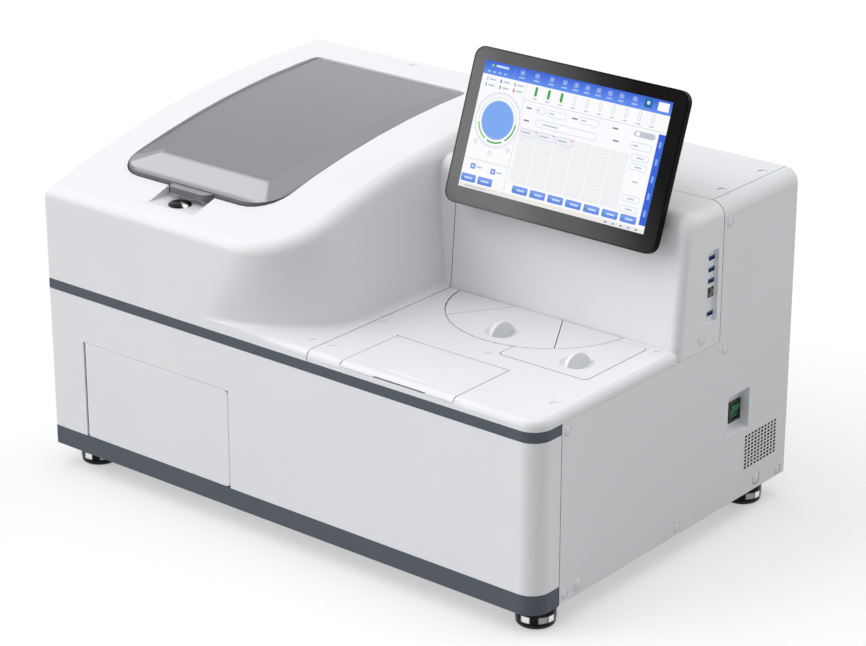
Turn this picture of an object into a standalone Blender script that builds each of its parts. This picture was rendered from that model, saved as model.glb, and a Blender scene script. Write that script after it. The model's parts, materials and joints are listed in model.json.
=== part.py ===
"""Bench-top chemiluminescence immunoassay analyzer, built as separate pieces.

Metres, +Z up, front towards -Y, origin on the table under the middle of the case.
Places across the case are X from its middle. Distances from the front face go through depth(),
and heights over the case underside go through height().
"""
import math

import bmesh
import bpy
from mathutils import Matrix, Vector

# Fits
TOUCH_GAP = 0.0003
SEAM_GAP = 0.0008
PIVOT_GAP = 0.0003
CUT_OVERRUN = 0.004

# Case
HOOD_WIDTH = 0.4496
DESK_WIDTH = 0.3504
DESK_REAR = 0.2756
TOWER_DEPTH = 0.2554
CASE_WIDTH = HOOD_WIDTH + DESK_WIDTH
CASE_DEPTH = DESK_REAR + TOWER_DEPTH
FRONT = -CASE_DEPTH / 2
BACK = CASE_DEPTH / 2
RIGHT = CASE_WIDTH / 2
LEFT = -CASE_WIDTH / 2
FOOT_HEIGHT = 0.032
SHELL_WALL = 0.003
SHEET_WALL = 0.002
WRAP_DEPTH = 0.0457
RIGHT_CORNER_RADIUS = 0.026
LEFT_CORNER_RADIUS = 0.0035
CORNER_STEPS = 7
BASE_BAND_TOP = 0.0243
BASE_BAND_DROP = 0.0012
MID_BAND_LOW = 0.2194
MID_BAND_RISE = 0.0135
MID_BAND_TOP = MID_BAND_LOW + MID_BAND_RISE
DESK_RISE = 0.0139
DESK_TOP = MID_BAND_TOP + DESK_RISE
TOWER_RISE = 0.1667
TOWER_TOP = DESK_TOP + TOWER_RISE
HOOD_OVER_TOWER = 0.0240
HOOD_FALL = 0.0815
HOOD_REAR_TOP = TOWER_TOP + HOOD_OVER_TOWER
HOOD_FRONT_TOP = HOOD_REAR_TOP - HOOD_FALL
DESK_SEAM_X = LEFT + HOOD_WIDTH

# Base pan and inner frame
PAN_FLANGE = 0.010
DECK_UNDER_DESK = 0.0818
DECK_HEIGHT = DESK_TOP - DECK_UNDER_DESK
DECK_THICKNESS = 0.003
DECK_MARGIN = 0.018
LEG_WIDTH = 0.022
LEG_INSET = 0.006
STUD_HOLE_GAP = 0.0006

# Levelling feet
FOOT_INSET = 0.034
FOOT_X = RIGHT - FOOT_INSET
FOOT_FRONT_DEPTH = 0.046
FOOT_REAR_INSET = 0.044
FOOT_REAR_DEPTH = CASE_DEPTH - FOOT_REAR_INSET
FOOT_RADIUS = 0.0252
FOOT_LOW_RADIUS = 0.0244
FOOT_SHOULDER_RADIUS = 0.0165
FOOT_DRUM_LOW = 0.0054
FOOT_DRUM_FLARE = 0.004
FOOT_DRUM_SHOULDER = 0.008
FOOT_DRUM_ROOM = 0.003
FOOT_DRUM_WIDEST_LOW = FOOT_DRUM_LOW + FOOT_DRUM_FLARE
FOOT_DRUM_TOP = FOOT_HEIGHT - FOOT_DRUM_ROOM
FOOT_DRUM_WIDEST_TOP = FOOT_DRUM_TOP - FOOT_DRUM_SHOULDER
STUD_RADIUS = 0.005
STUD_LENGTH = 0.011
PAD_RADIUS = 0.0244
PAD_LOW_RADIUS = 0.0200
PAD_ROUND_RISE = 0.0038
PAD_ROUND_STEPS = 3
TURNED_SEGMENTS = 24
FINE_SEGMENTS = 12

# Lid opening, which the front door and the reaction disc line up with
LID_LEFT_MARGIN = 0.0640
LID_RIGHT_MARGIN = 0.1238
LID_REAR_MARGIN = 0.0710
LID_LEFT = LEFT + LID_LEFT_MARGIN
LID_RIGHT = DESK_SEAM_X - LID_RIGHT_MARGIN
LID_FRONT = 0.0678
LID_REAR = CASE_DEPTH - LID_REAR_MARGIN
LID_X = (LID_LEFT + LID_RIGHT) / 2

# Front door and its hinge rod
DOOR_PAST_LID = 0.0026
DOOR_SHORT_OF_LID = 0.0103
DOOR_UNDER_BAND = 0.0624
DOOR_LEFT = LID_LEFT - DOOR_PAST_LID
DOOR_RIGHT = LID_RIGHT - DOOR_SHORT_OF_LID
DOOR_TOP = MID_BAND_LOW - DOOR_UNDER_BAND
DOOR_THICKNESS = 0.008
DOOR_SIDE_GAP = 0.0016
DOOR_CORNER_RADIUS = 0.006
DOOR_CORNER_PROFILE_SHARE = 0.5
DOOR_ROD_RADIUS = 0.0015
DOOR_ROD_REACH = 0.006
DOOR_LUG_WIDTH = 0.012
DOOR_LUG_DEPTH = 0.0065
DOOR_LUG_HEIGHT = 0.009

# Right side panel with its recess and vent
SWITCH_RECESS_INSET = 0.0900
SWITCH_RECESS_LENGTH = 0.0481
SWITCH_RECESS_RISE = 0.0564
SWITCH_RECESS_REAR = CASE_DEPTH - SWITCH_RECESS_INSET
SWITCH_RECESS_FRONT = SWITCH_RECESS_REAR - SWITCH_RECESS_LENGTH
SWITCH_RECESS_LOW = 0.0928
SWITCH_RECESS_TOP = SWITCH_RECESS_LOW + SWITCH_RECESS_RISE
SWITCH_RECESS_DEPTH = 0.013
SWITCH_RECESS_SLOPE = 0.0055
SWITCH_BEHIND_SILL = 0.0331
SWITCH_OVER_SILL = 0.0252
SWITCH_DEPTH = SWITCH_RECESS_FRONT + SWITCH_BEHIND_SILL
SWITCH_HEIGHT = SWITCH_RECESS_LOW + SWITCH_OVER_SILL
SWITCH_WIDTH = 0.0250
SWITCH_LENGTH = 0.0285
SWITCH_FLANGE = 0.0018
SWITCH_BORDER = 0.0020
SWITCH_BODY_LENGTH = 0.024
ROCKER_RIM = 0.0024
ROCKER_SINK = 0.0034
ROCKER_TILT_DEG = 11.0
ROCKER_EDGE_DEG = 55.0
ROCKER_BACK_DEG = 115.0
ROCKER_VALLEY = 0.0048
ROCKER_STEPS = 5
VENT_INSET = 0.0241
VENT_LENGTH = 0.0715
VENT_RISE = 0.0463
VENT_UNDER_SWITCH = 0.0101
VENT_REAR = CASE_DEPTH - VENT_INSET
VENT_FRONT = VENT_REAR - VENT_LENGTH
VENT_TOP = SWITCH_RECESS_LOW - VENT_UNDER_SWITCH
VENT_LOW = VENT_TOP - VENT_RISE
VENT_COLUMNS = 10
VENT_ROWS = 10
VENT_HOLE_WIDTH = 0.0047
VENT_HOLE_HEIGHT = 0.0030

# Rear panel
INLET_INSET = 0.070
INLET_X = RIGHT - INLET_INSET
INLET_HEIGHT = 0.070
INLET_WIDTH = 0.0275
INLET_RISE = 0.0200
INLET_FLANGE = 0.0030
INLET_FLANGE_BORDER = 0.0040
INLET_LENGTH = 0.026
INLET_WALL = 0.0025
INLET_PIN_WIDTH = 0.0020
INLET_PIN_RISE = 0.0040
INLET_PIN_LENGTH = 0.0150
INLET_PIN_PITCH = 0.0070
FAN_INSET = 0.160
FAN_X = LEFT + FAN_INSET
FAN_UNDER_DECK = 0.055
FAN_HEIGHT = DECK_HEIGHT - FAN_UNDER_DECK
FAN_SIZE = 0.080
FAN_THICKNESS = 0.025
FAN_BORE_RADIUS = 0.0370
FAN_HUB_RADIUS = 0.0170
FAN_SPOKE_WIDTH = 0.004
FAN_SPOKE_THICKNESS = 0.003
FAN_BLADES = 7
FAN_BLADE_THICKNESS = 0.0018
FAN_BLADE_TIP_GAP = 0.0020
FAN_BLADE_PITCH_DEG = 35.0
FAN_AXLE_RADIUS = 0.0025
GRILLE_SLOTS = 9
GRILLE_SLOT_WIDTH = 0.0050
PORT_HOLE_RADIUS = 0.006
PORT_HOLE_PITCH = 0.030
PORT_HOLE_PAST_SEAM = 0.0104
PORT_HOLE_X = DESK_SEAM_X + PORT_HOLE_PAST_SEAM
PORT_HOLE_HEIGHT = 0.060
PORT_HOLES = 4

# Hood
HOOD_CURVE_POWER = 2.3
HOOD_CREST_INSET = 0.0306
HOOD_FOOT_INSET = 0.0096
HOOD_CREST_RIGHT = DESK_SEAM_X - HOOD_CREST_INSET
HOOD_CREST_CORNER_WIDTH = 0.0890
HOOD_CREST_CORNER_DEPTH = 0.0950
HOOD_FOOT_RIGHT = DESK_SEAM_X - HOOD_FOOT_INSET
HOOD_FOOT_CORNER_WIDTH = 0.1650
HOOD_FOOT_CORNER_DEPTH = 0.1250
HOOD_COVE = 0.0080
HOOD_EDGE_ROUND = 0.0120
HOOD_RIGHT_ROUND = 0.0180
HOOD_REAR_ROUND = 0.0050
HOOD_CORNER_STEPS = 10
HOOD_SIDE_STEPS = 7
HOOD_ROUND_STEPS = 4
COVE_CLEAR_SHARE = 0.9
LEDGE_ROUND_SHARE = 0.5
DESK_EDGE_ROUND = 0.0075
EDGE_ROUND_STEPS = 3

# Latch button's pocket
POCKET_FROM_LID = 0.0848
POCKET_WIDTH = 0.0790
POCKET_RIGHT = LID_RIGHT - POCKET_FROM_LID
POCKET_LEFT = POCKET_RIGHT - POCKET_WIDTH
POCKET_FRONT = 0.0270
POCKET_FLOOR = HOOD_REAR_TOP - HOOD_FALL * (1 - POCKET_FRONT / CASE_DEPTH) ** HOOD_CURVE_POWER
POCKET_WALL = 0.0030

# Lid, its panel and its seat
LID_GAP = 0.0022
LID_FRONT_CORNER = 0.0420
LID_REAR_CORNER = 0.0080
LID_RIM_LOW = 0.0110
LID_RIM_FRONT_RISE = 0.0048
LID_RIM_SIDE_DROP = 0.0030
LID_RIM_FADE = 0.1000
LID_SHOULDER_IN = 0.0025
LID_SHOULDER_RISE = 0.0014
LID_CROWN = 0.0060
LID_FACET_FRONT = 0.0490
LID_FACET_REAR = 0.0080
LID_FACET_SIDE_FRONT = 0.0375
LID_FACET_SIDE_REAR = 0.0120
LID_PANEL_CORNER = 0.0070
LID_PANEL_THICKNESS = 0.0030
LID_REBATE = 0.0080
LID_REBATE_WALL = 0.0030
LID_SKIRT_WALL = 0.0030
LID_SIDE_STEPS = 8
LID_CORNER_STEPS = 6
LID_AXIS_FROM_REAR = 0.0060
LID_AXIS_DROP = 0.0080
LID_BARREL_RADIUS = 0.0040
LID_BARREL_INSET = 0.0120
LID_ROD_RADIUS = 0.0020
LID_TAB_LEFT_GAP = 0.0035
LID_TAB_RIGHT_GAP = 0.0020
LID_TAB_REACH = 0.0128
LID_TAB_OVER_FLOOR = 0.0160
LID_TAB_LEFT = POCKET_LEFT + LID_TAB_LEFT_GAP
LID_TAB_RIGHT = POCKET_RIGHT - LID_TAB_RIGHT_GAP
LID_TAB_FRONT = LID_FRONT - LID_TAB_REACH
LID_TAB_TAPER = 0.0075
LID_TAB_THICKNESS = 0.0085
LID_TAB_TOP = POCKET_FLOOR + LID_TAB_OVER_FLOOR
LID_TAB_ROOT = 0.0020
SEAT_WALL = 0.0030
SEAT_LEDGE = 0.0110
SEAT_LEDGE_THICKNESS = 0.0030
SEAT_REST_GAP = 0.0004
SEAT_REAR_OPEN = 0.0200

# Latch button
BUTTON_FROM_POCKET_SIDE = 0.0380
BUTTON_BEHIND_POCKET_FRONT = 0.0185
BUTTON_X = POCKET_LEFT + BUTTON_FROM_POCKET_SIDE
BUTTON_DEPTH = POCKET_FRONT + BUTTON_BEHIND_POCKET_FRONT
BUTTON_RADIUS = 0.0150
BUTTON_RISE = 0.0042
BUTTON_EDGE = 0.0012
BUTTON_FLANGE = 0.0020
BUTTON_FLANGE_HEIGHT = 0.0020
BUTTON_STEM = 0.0100

# Desk cover, flap, well and lift-off covers
LEDGE_WIDTH = 0.0060
LEDGE_THICKNESS = 0.0032
FLAP_LEFT_MARGIN = 0.0524
FLAP_RIGHT_MARGIN = 0.1240
FLAP_LIP_DROP = 0.0063
FLAP_LEFT = DESK_SEAM_X + FLAP_LEFT_MARGIN
FLAP_RIGHT = RIGHT - FLAP_RIGHT_MARGIN
FLAP_REAR = 0.1090
FLAP_LIP = DESK_TOP - FLAP_LIP_DROP
FLAP_BARREL_RADIUS = 0.0034
FLAP_ROD_RADIUS = 0.0011
FLAP_ROD_REACH = 0.0035
FLAP_THICKNESS = 0.0030
SCOOP_LEFT_MARGIN = 0.0520
SCOOP_RIGHT_MARGIN = 0.0420
SCOOP_LEFT = FLAP_LEFT + SCOOP_LEFT_MARGIN
SCOOP_RIGHT = FLAP_RIGHT - SCOOP_RIGHT_MARGIN
SCOOP_RISE = 0.0016
WELL_MARGIN = 0.0070
WELL_DEPTH = 0.0718
WELL_FLOOR = DESK_TOP - WELL_DEPTH
WELL_FLANGE = 0.0020
WELL_WALL = 0.0020
WELL_FRONT = 0.0140
DISC_LEFT_MARGIN = 0.0142
DISC_RIGHT_MARGIN = 0.0776
DISC_BEHIND_DESK = 0.0163
DISC_COVER_RADIUS = (DESK_WIDTH - DISC_LEFT_MARGIN - DISC_RIGHT_MARGIN) / 2
DISC_X = DESK_SEAM_X + DISC_LEFT_MARGIN + DISC_COVER_RADIUS
DISC_DEPTH = DESK_REAR + DISC_BEHIND_DESK
DISC_FRONT = DISC_DEPTH - DISC_COVER_RADIUS
SECTOR_LEFT_DEG = 226.3
SECTOR_RIGHT_DEG = 310.35
SECTOR_LEFT_REAR = 0.0363
SECTOR_RIGHT_REAR = 0.0352
SECTOR_LEFT_REAR_X = DISC_X - SECTOR_LEFT_REAR
SECTOR_RIGHT_REAR_X = DISC_X + SECTOR_RIGHT_REAR
COVER_THICKNESS = 0.0030
DISC_STEPS = 20
SIDE_COVER_FROM_DISC = 0.0399
SIDE_COVER_RIGHT_MARGIN = 0.0355
SIDE_COVER_BEFORE_DISC = 0.0236
SIDE_COVER_REAR_MARGIN = 0.0096
SIDE_COVER_LEFT = DISC_X + SIDE_COVER_FROM_DISC
SIDE_COVER_RIGHT = RIGHT - SIDE_COVER_RIGHT_MARGIN
SIDE_COVER_FRONT = DISC_FRONT - SIDE_COVER_BEFORE_DISC
SIDE_COVER_REAR = DESK_REAR - SIDE_COVER_REAR_MARGIN
SIDE_COVER_CORNER = 0.0060
GRIP_BEHIND_RIM = 0.0354
GRIP_X = DISC_X
GRIP_DEPTH = DISC_FRONT + GRIP_BEHIND_RIM
SIDE_GRIP_FROM_EDGE = 0.0415
SIDE_GRIP_BEHIND_EDGE = 0.0390
SIDE_GRIP_X = SIDE_COVER_RIGHT - SIDE_GRIP_FROM_EDGE
SIDE_GRIP_DEPTH = SIDE_COVER_FRONT + SIDE_GRIP_BEHIND_EDGE
GRIP_DISH_RADIUS = 0.0215
GRIP_DISH_DEPTH = 0.0080
GRIP_DISH_WALL = 0.0026
GRIP_FIN_RADIUS = 0.0180
GRIP_FIN_THICKNESS = 0.0085
GRIP_FIN_RISE = 0.0130
GRIP_FIN_TURN_DEG = -15.0

# Tower
TOWER_FRONT_GAP = 0.0006
TOWER_COVER_DEPTH = 0.0914
TOWER_FRONT = DESK_REAR + TOWER_FRONT_GAP
TOWER_SEAM = TOWER_FRONT + TOWER_COVER_DEPTH
TOWER_LEAN_SHARE = 0.0888
TOWER_TOP_ROUND = 0.0200
TOWER_SIDE_ROUND = 0.0180
TOWER_CORNER_ROUND = 0.0120
TOWER_ROUND_STEPS = 5
PILLAR_WIDTH = 0.0376
PILLAR_ROUND = 0.0160
PILLAR_OPEN_WIDTH = 0.0280
PILLAR_LEFT = DESK_SEAM_X - PILLAR_WIDTH
PILLAR_INNER_LEFT = PILLAR_LEFT - PILLAR_OPEN_WIDTH
SOCKET_RECESS_INSET = 0.0091
SOCKET_RECESS_LENGTH = 0.0245
SOCKET_RECESS_RISE = 0.0935
SOCKET_RECESS_DROP = 0.0547
SOCKET_RECESS_REAR = TOWER_SEAM - SOCKET_RECESS_INSET
SOCKET_RECESS_FRONT = SOCKET_RECESS_REAR - SOCKET_RECESS_LENGTH
SOCKET_RECESS_TOP = TOWER_TOP - SOCKET_RECESS_DROP
SOCKET_RECESS_LOW = SOCKET_RECESS_TOP - SOCKET_RECESS_RISE
SOCKET_RECESS_DEPTH = 0.0050
SOCKET_BEFORE_REAR = 0.0077
SOCKET_DEPTH = SOCKET_RECESS_REAR - SOCKET_BEFORE_REAR
USB_WIDTH = 0.0131
USB_RISE = 0.0057
USB_DROPS = (0.0117, 0.0269, 0.0415, 0.0841)
USB_LENGTH = 0.0140
USB_WALL = 0.0005
USB_TONGUE_WIDTH = 0.0105
USB_TONGUE_RISE = 0.0018
USB_TONGUE_SHORT = 0.0015
NETWORK_DROP = 0.0565
NETWORK_HEIGHT = SOCKET_RECESS_TOP - NETWORK_DROP
NETWORK_WIDTH = 0.0124
NETWORK_RISE = 0.0124
NETWORK_LENGTH = 0.0160
NETWORK_WALL = 0.0008
NETWORK_KEY_WIDTH = 0.0050
NETWORK_KEY_RISE = 0.0022

# Display, its glass and its hinge
DISPLAY_LEFT_OF_MIDDLE = 0.0107
DISPLAY_BEHIND_TOWER_FRONT = 0.0122
DISPLAY_OVER_TOWER = 0.0517
DISPLAY_X = (DESK_SEAM_X + RIGHT) / 2 - DISPLAY_LEFT_OF_MIDDLE
DISPLAY_DEPTH = TOWER_FRONT + DISPLAY_BEHIND_TOWER_FRONT
DISPLAY_HEIGHT = TOWER_TOP + DISPLAY_OVER_TOWER
DISPLAY_TILT_DEG = 20.0
DISPLAY_WIDTH = 0.3211
DISPLAY_RISE = 0.1985
DISPLAY_CORNER = 0.0150
DISPLAY_CORNER_STEPS = 5
DISPLAY_THICKNESS = 0.0120
DISPLAY_LIP = 0.0012
DISPLAY_LIP_CHAMFER = 0.0006
DISPLAY_BACK_CHAMFER = 0.0025
DISPLAY_GLASS_THICKNESS = 0.0022
BULGE_HALF_WIDTH = 0.1150
BULGE_TOP = 0.0550
BULGE_BOTTOM = -0.0300
BULGE_THICKNESS = 0.0120
BULGE_SLOPE = 0.0100
HINGE_BELOW_CENTRE = 0.0130
HINGE_BEHIND_FACE = 0.0380
HINGE_BARREL_RADIUS = 0.0080
HINGE_PIN_RADIUS = 0.0030
HINGE_LUG_SPREAD = 0.0320
HINGE_LUG_WIDTH = 0.0120
HINGE_BASE_WIDTH = 0.1100
HINGE_BASE_INSET = 0.0378
HINGE_BASE_REAR_INSET = 0.0076
HINGE_BASE_FRONT = TOWER_FRONT + HINGE_BASE_INSET
HINGE_BASE_REAR = TOWER_SEAM - HINGE_BASE_REAR_INSET
HINGE_BASE_THICKNESS = 0.0040
HINGE_BLOCK_SIDE_GAP = 0.0005

# Pieces inside
BOTTLE_SIDE_ROOM = 0.01505
BOTTLE_HEADROOM = 0.060
BOTTLE_WIDTH = (DOOR_RIGHT - DOOR_LEFT) / 2 - BOTTLE_SIDE_ROOM
BOTTLE_DEPTH = 0.190
BOTTLE_RISE = DECK_HEIGHT - BOTTLE_HEADROOM
BOTTLE_FRONT = 0.0160
BOTTLE_CORNER = 0.012
BOTTLE_NECK_RADIUS = 0.014
BOTTLE_CAP_RADIUS = 0.019
BOTTLE_NECK_RISE = 0.008
BOTTLE_CAP_RISE = 0.015
BOTTLE_SPACING = 0.0080
SUPPLY_INSET = 0.100
SUPPLY_X = RIGHT - SUPPLY_INSET
SUPPLY_WIDTH = 0.080
SUPPLY_LENGTH = 0.153
SUPPLY_REAR_INSET = 0.013
SUPPLY_REAR = CASE_DEPTH - SUPPLY_REAR_INSET
SUPPLY_FRONT = SUPPLY_REAR - SUPPLY_LENGTH
SUPPLY_RISE = 0.056
SUPPLY_TERMINAL_RISE = 0.012
SUPPLY_TERMINAL_DEPTH = 0.014
BOARD_BEFORE_SEAM = 0.0396
BOARD_SUPPLY_ROOM = 0.050
BOARD_LENGTH = 0.135
BOARD_REAR_INSET = 0.026
BOARD_LEFT = DESK_SEAM_X - BOARD_BEFORE_SEAM
BOARD_RIGHT = SUPPLY_X - SUPPLY_WIDTH / 2 - BOARD_SUPPLY_ROOM
BOARD_REAR = CASE_DEPTH - BOARD_REAR_INSET
BOARD_FRONT = BOARD_REAR - BOARD_LENGTH
BOARD_THICKNESS = 0.0016
BOARD_STANDOFF = 0.012
BOARD_POST_RADIUS = 0.003
BOARD_CHIP = 0.026
BOARD_CHIP_RISE = 0.004
BOARD_SOCKET_RISE = 0.011
REACTION_RIGHT_OF_LID_MIDDLE = 0.0101
REACTION_BEHIND_LID_MIDDLE = 0.0211
REACTION_LID_ROOM = 0.0109
REACTION_UNDER_DESK = 0.0318
REACTION_X = LID_X + REACTION_RIGHT_OF_LID_MIDDLE
REACTION_DEPTH = (LID_FRONT + LID_REAR) / 2 + REACTION_BEHIND_LID_MIDDLE
REACTION_RADIUS = (LID_RIGHT - LID_LEFT) / 2 - REACTION_LID_ROOM
REACTION_LOW = DESK_TOP - REACTION_UNDER_DESK
REACTION_THICKNESS = 0.014
REACTION_WELLS = 20
REACTION_WELL_RADIUS = 0.0052
REACTION_WELL_INSET = 0.010
REACTION_WELL_CIRCLE = REACTION_RADIUS - REACTION_WELL_INSET
REAGENT_COVER_ROOM = 0.0143
REAGENT_UNDER_DESK = 0.0488
REAGENT_RADIUS = DISC_COVER_RADIUS - REAGENT_COVER_ROOM
REAGENT_LOW = DESK_TOP - REAGENT_UNDER_DESK
REAGENT_THICKNESS = 0.016
REAGENT_WELLS = 12
REAGENT_WELL_RADIUS = 0.0120
REAGENT_WELL_INSET = 0.014
REAGENT_WELL_CIRCLE = REAGENT_RADIUS - REAGENT_WELL_INSET
DISC_HUB_RADIUS = 0.016
DISC_HUB_DROP = 0.012
SHAFT_RADIUS = 0.005
SHAFT_STANDOUT = 0.004
MOTOR_SIZE = 0.057
MOTOR_LENGTH = 0.050
MOTOR_PILOT_RADIUS = 0.019
METER_INSET = 0.014
METER_LEFT = LEFT + METER_INSET
METER_WIDTH = 0.058
METER_REAR_INSET = 0.121
METER_LENGTH = 0.075
METER_FRONT = CASE_DEPTH - METER_REAR_INSET - METER_LENGTH
METER_RISE = 0.075
METER_TUBE_RADIUS = 0.017
METER_TUBE_LENGTH = 0.055
COLUMN_BEFORE_SEAM = 0.0496
COLUMN_REAR_INSET = 0.106
COLUMN_X = DESK_SEAM_X - COLUMN_BEFORE_SEAM
COLUMN_DEPTH = CASE_DEPTH - COLUMN_REAR_INSET
COLUMN_RADIUS = 0.0220
COLUMN_FLANGE_RADIUS = 0.034
COLUMN_FLANGE = 0.006
COLUMN_RISE = 0.135
COLUMN_TOP = DECK_HEIGHT + COLUMN_RISE
SPINDLE_RADIUS = 0.010
SPINDLE_SEAT = 0.015
SPINDLE_STANDOUT = 0.025
SPINDLE_START = DECK_HEIGHT + SPINDLE_SEAT
SPINDLE_TOP = COLUMN_TOP + SPINDLE_STANDOUT
SPINDLE_PIN_RADIUS = 0.006
SPINDLE_PIN_RISE = 0.009
ARM_PAST_WELLS = 0.001
ARM_THICKNESS = 0.013
ARM_BOSS_RADIUS = 0.017
ARM_TIP_RADIUS = 0.007
NEEDLE_RADIUS = 0.0014
NEEDLE_LENGTH = 0.076

FINISHES = {
    "white_shell": ((0.86, 0.87, 0.88, 1.0), 0.38, 0.0),
    "white_sheet": ((0.80, 0.81, 0.83, 1.0), 0.45, 0.0),
    "band_grey": ((0.095, 0.115, 0.135, 1.0), 0.50, 0.0),
    "smoke_frame": ((0.47, 0.47, 0.51, 1.0), 0.28, 0.0),
    "smoke_panel": ((0.28, 0.28, 0.32, 1.0), 0.22, 0.0),
    "chrome": ((0.80, 0.80, 0.82, 1.0), 0.10, 1.0),
    "steel": ((0.56, 0.57, 0.59, 1.0), 0.32, 1.0),
    "rubber": ((0.02, 0.02, 0.02, 1.0), 0.80, 0.0),
    "black_plastic": ((0.03, 0.03, 0.035, 1.0), 0.40, 0.0),
    "screen_glass": ((0.02, 0.02, 0.025, 1.0), 0.08, 0.0),
    "switch_green": ((0.01, 0.20, 0.03, 1.0), 0.20, 0.0),
    "zinc_sheet": ((0.45, 0.46, 0.47, 1.0), 0.42, 0.9),
    "board_green": ((0.02, 0.18, 0.07, 1.0), 0.50, 0.0),
    "clear_bottle": ((0.72, 0.76, 0.78, 1.0), 0.30, 0.0),
    "aluminium": ((0.70, 0.71, 0.73, 1.0), 0.30, 1.0),
}


def depth(distance):
    """Y of a plane this far behind the front face."""
    return FRONT + distance


def height(rise):
    """Z of a plane this far above the case underside."""
    return FOOT_HEIGHT + rise


def clear_scene():
    for thing in list(bpy.data.objects):
        bpy.data.objects.remove(thing, do_unlink=True)


def arc(centre, radius, start_deg, stop_deg, steps):
    """Points on a circle, both ends included."""
    points = []
    for step in range(steps + 1):
        angle = math.radians(start_deg + (stop_deg - start_deg) * step / steps)
        points.append((centre[0] + radius * math.cos(angle), centre[1] + radius * math.sin(angle)))
    return points


def rounded_outline(corners, radii, corner_steps, edge_steps):
    """Closed outline with rounded corners, and edge_steps parts on the edge that leaves each corner."""
    arcs = []
    count = len(corners)
    for index in range(count):
        here = Vector(corners[index])
        back = (Vector(corners[index - 1]) - here).normalized()
        ahead = (Vector(corners[(index + 1) % count]) - here).normalized()
        half = back.angle(ahead) / 2
        centre = here + (back + ahead).normalized() * (radii[index] / math.sin(half))
        start = here + back * (radii[index] / math.tan(half)) - centre
        stop = here + ahead * (radii[index] / math.tan(half)) - centre
        sweep = start.angle_signed(stop)
        points = []
        for step in range(corner_steps + 1):
            turn = Matrix.Rotation(-sweep * step / corner_steps, 2)
            points.append(tuple(centre + turn @ start))
        arcs.append(points)
    outline = []
    for index in range(count):
        outline.extend(arcs[index])
        start = Vector(arcs[index][-1])
        stop = Vector(arcs[(index + 1) % count][0])
        for step in range(1, edge_steps[index]):
            outline.append(tuple(start.lerp(stop, step / edge_steps[index])))
    return outline


def place(point, axis, along):
    """A flat point put into space: the plane's own two coordinates and the place along its axis."""
    if axis == "x":
        return (along, point[0], point[1])
    if axis == "y":
        return (point[0], along, point[1])
    return (point[0], point[1], along)


def body_from(bm):
    """A scene object from an edit mesh, with its faces turned outwards."""
    bmesh.ops.recalc_face_normals(bm, faces=bm.faces)
    mesh = bpy.data.meshes.new("body")
    bm.to_mesh(mesh)
    bm.free()
    body = bpy.data.objects.new("body", mesh)
    bpy.context.scene.collection.objects.link(body)
    return body


def prism(outline, axis, low, high):
    """An outline pulled along X, Y or Z."""
    bm = bmesh.new()
    face = bm.faces.new([bm.verts.new(place(point, axis, low)) for point in outline])
    pulled = bmesh.ops.extrude_face_region(bm, geom=[face])
    far_points = [item for item in pulled["geom"] if isinstance(item, bmesh.types.BMVert)]
    bmesh.ops.translate(bm, verts=far_points, vec=Vector(place((0, 0), axis, high - low)))
    return body_from(bm)


def box(low, high):
    return prism([(low[0], low[1]), (high[0], low[1]), (high[0], high[1]), (low[0], high[1])], "z",
                 low[2], high[2])


def rod(centre, radius, axis, low, high, segments):
    """A round bar, its centre given in the plane across its axis."""
    return prism(arc(centre, radius, 0, 360 - 360 / segments, segments - 1), axis, low, high)


def turned(profile, x, y, segments):
    """A profile of radius and Z turned round the vertical line at x, y; it starts and ends on the axis."""
    bm = bmesh.new()
    verts = [bm.verts.new((radius, 0, z)) for radius, z in profile]
    edges = [bm.edges.new(pair) for pair in zip(verts, verts[1:])]
    bmesh.ops.spin(bm, geom=verts + edges, cent=(0, 0, 0), axis=(0, 0, 1), angle=2 * math.pi,
                   steps=segments, use_merge=True)
    bmesh.ops.remove_doubles(bm, verts=bm.verts, dist=TOUCH_GAP / 10)
    bmesh.ops.translate(bm, verts=bm.verts, vec=(x, y, 0))
    return body_from(bm)


def loft(rings, ring_closed=False):
    """A skin over rings of points; both ends are capped, or the last ring joins the first."""
    bm = bmesh.new()
    loops = [[bm.verts.new(point) for point in ring] for ring in rings]
    pairs = list(zip(loops, loops[1:]))
    if ring_closed:
        pairs.append((loops[-1], loops[0]))
    else:
        bm.faces.new(loops[0])
        bm.faces.new(loops[-1])
    for low, high in pairs:
        for index in range(len(low)):
            after = (index + 1) % len(low)
            bm.faces.new((low[index], low[after], high[after], high[index]))
    return body_from(bm)


def fill_between(bm, left, right):
    """Triangles across a surface that bends along Y only, between its left and its right edge."""
    i = 0
    j = 0
    while i < len(left) - 1 or j < len(right) - 1:
        if j == len(right) - 1 or (i < len(left) - 1 and left[i + 1].co.y <= right[j + 1].co.y):
            bm.faces.new((left[i], right[j], left[i + 1]))
            i += 1
        else:
            bm.faces.new((left[i], right[j], right[j + 1]))
            j += 1


def bent_loft(rings, split, flat_low=False):
    """A loft whose ends bend along Y: split gives the left and the right chain of a ring's points."""
    bm = bmesh.new()
    loops = [[bm.verts.new(point) for point in ring] for ring in rings]
    for low, high in zip(loops, loops[1:]):
        for index in range(len(low)):
            after = (index + 1) % len(low)
            bm.faces.new((low[index], low[after], high[after], high[index]))
    if flat_low:
        bm.faces.new(loops[0])
    else:
        fill_between(bm, *split(loops[0]))
    fill_between(bm, *split(loops[-1]))
    return body_from(bm)


def combine(body, other, operation):
    """One Boolean step; the other body is used up."""
    step = body.modifiers.new("step", "BOOLEAN")
    step.operation = operation
    step.object = other
    graph = bpy.context.evaluated_depsgraph_get()
    mesh = bpy.data.meshes.new_from_object(body.evaluated_get(graph))
    body.modifiers.clear()
    body.data = mesh
    bpy.data.objects.remove(other, do_unlink=True)
    return body


def cut(body, *tools):
    for tool in tools:
        combine(body, tool, "DIFFERENCE")
    return body


def unite(body, *others):
    for other in others:
        combine(body, other, "UNION")
    return body


def moved(body, matrix):
    body.data.transform(matrix)
    return body


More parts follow.
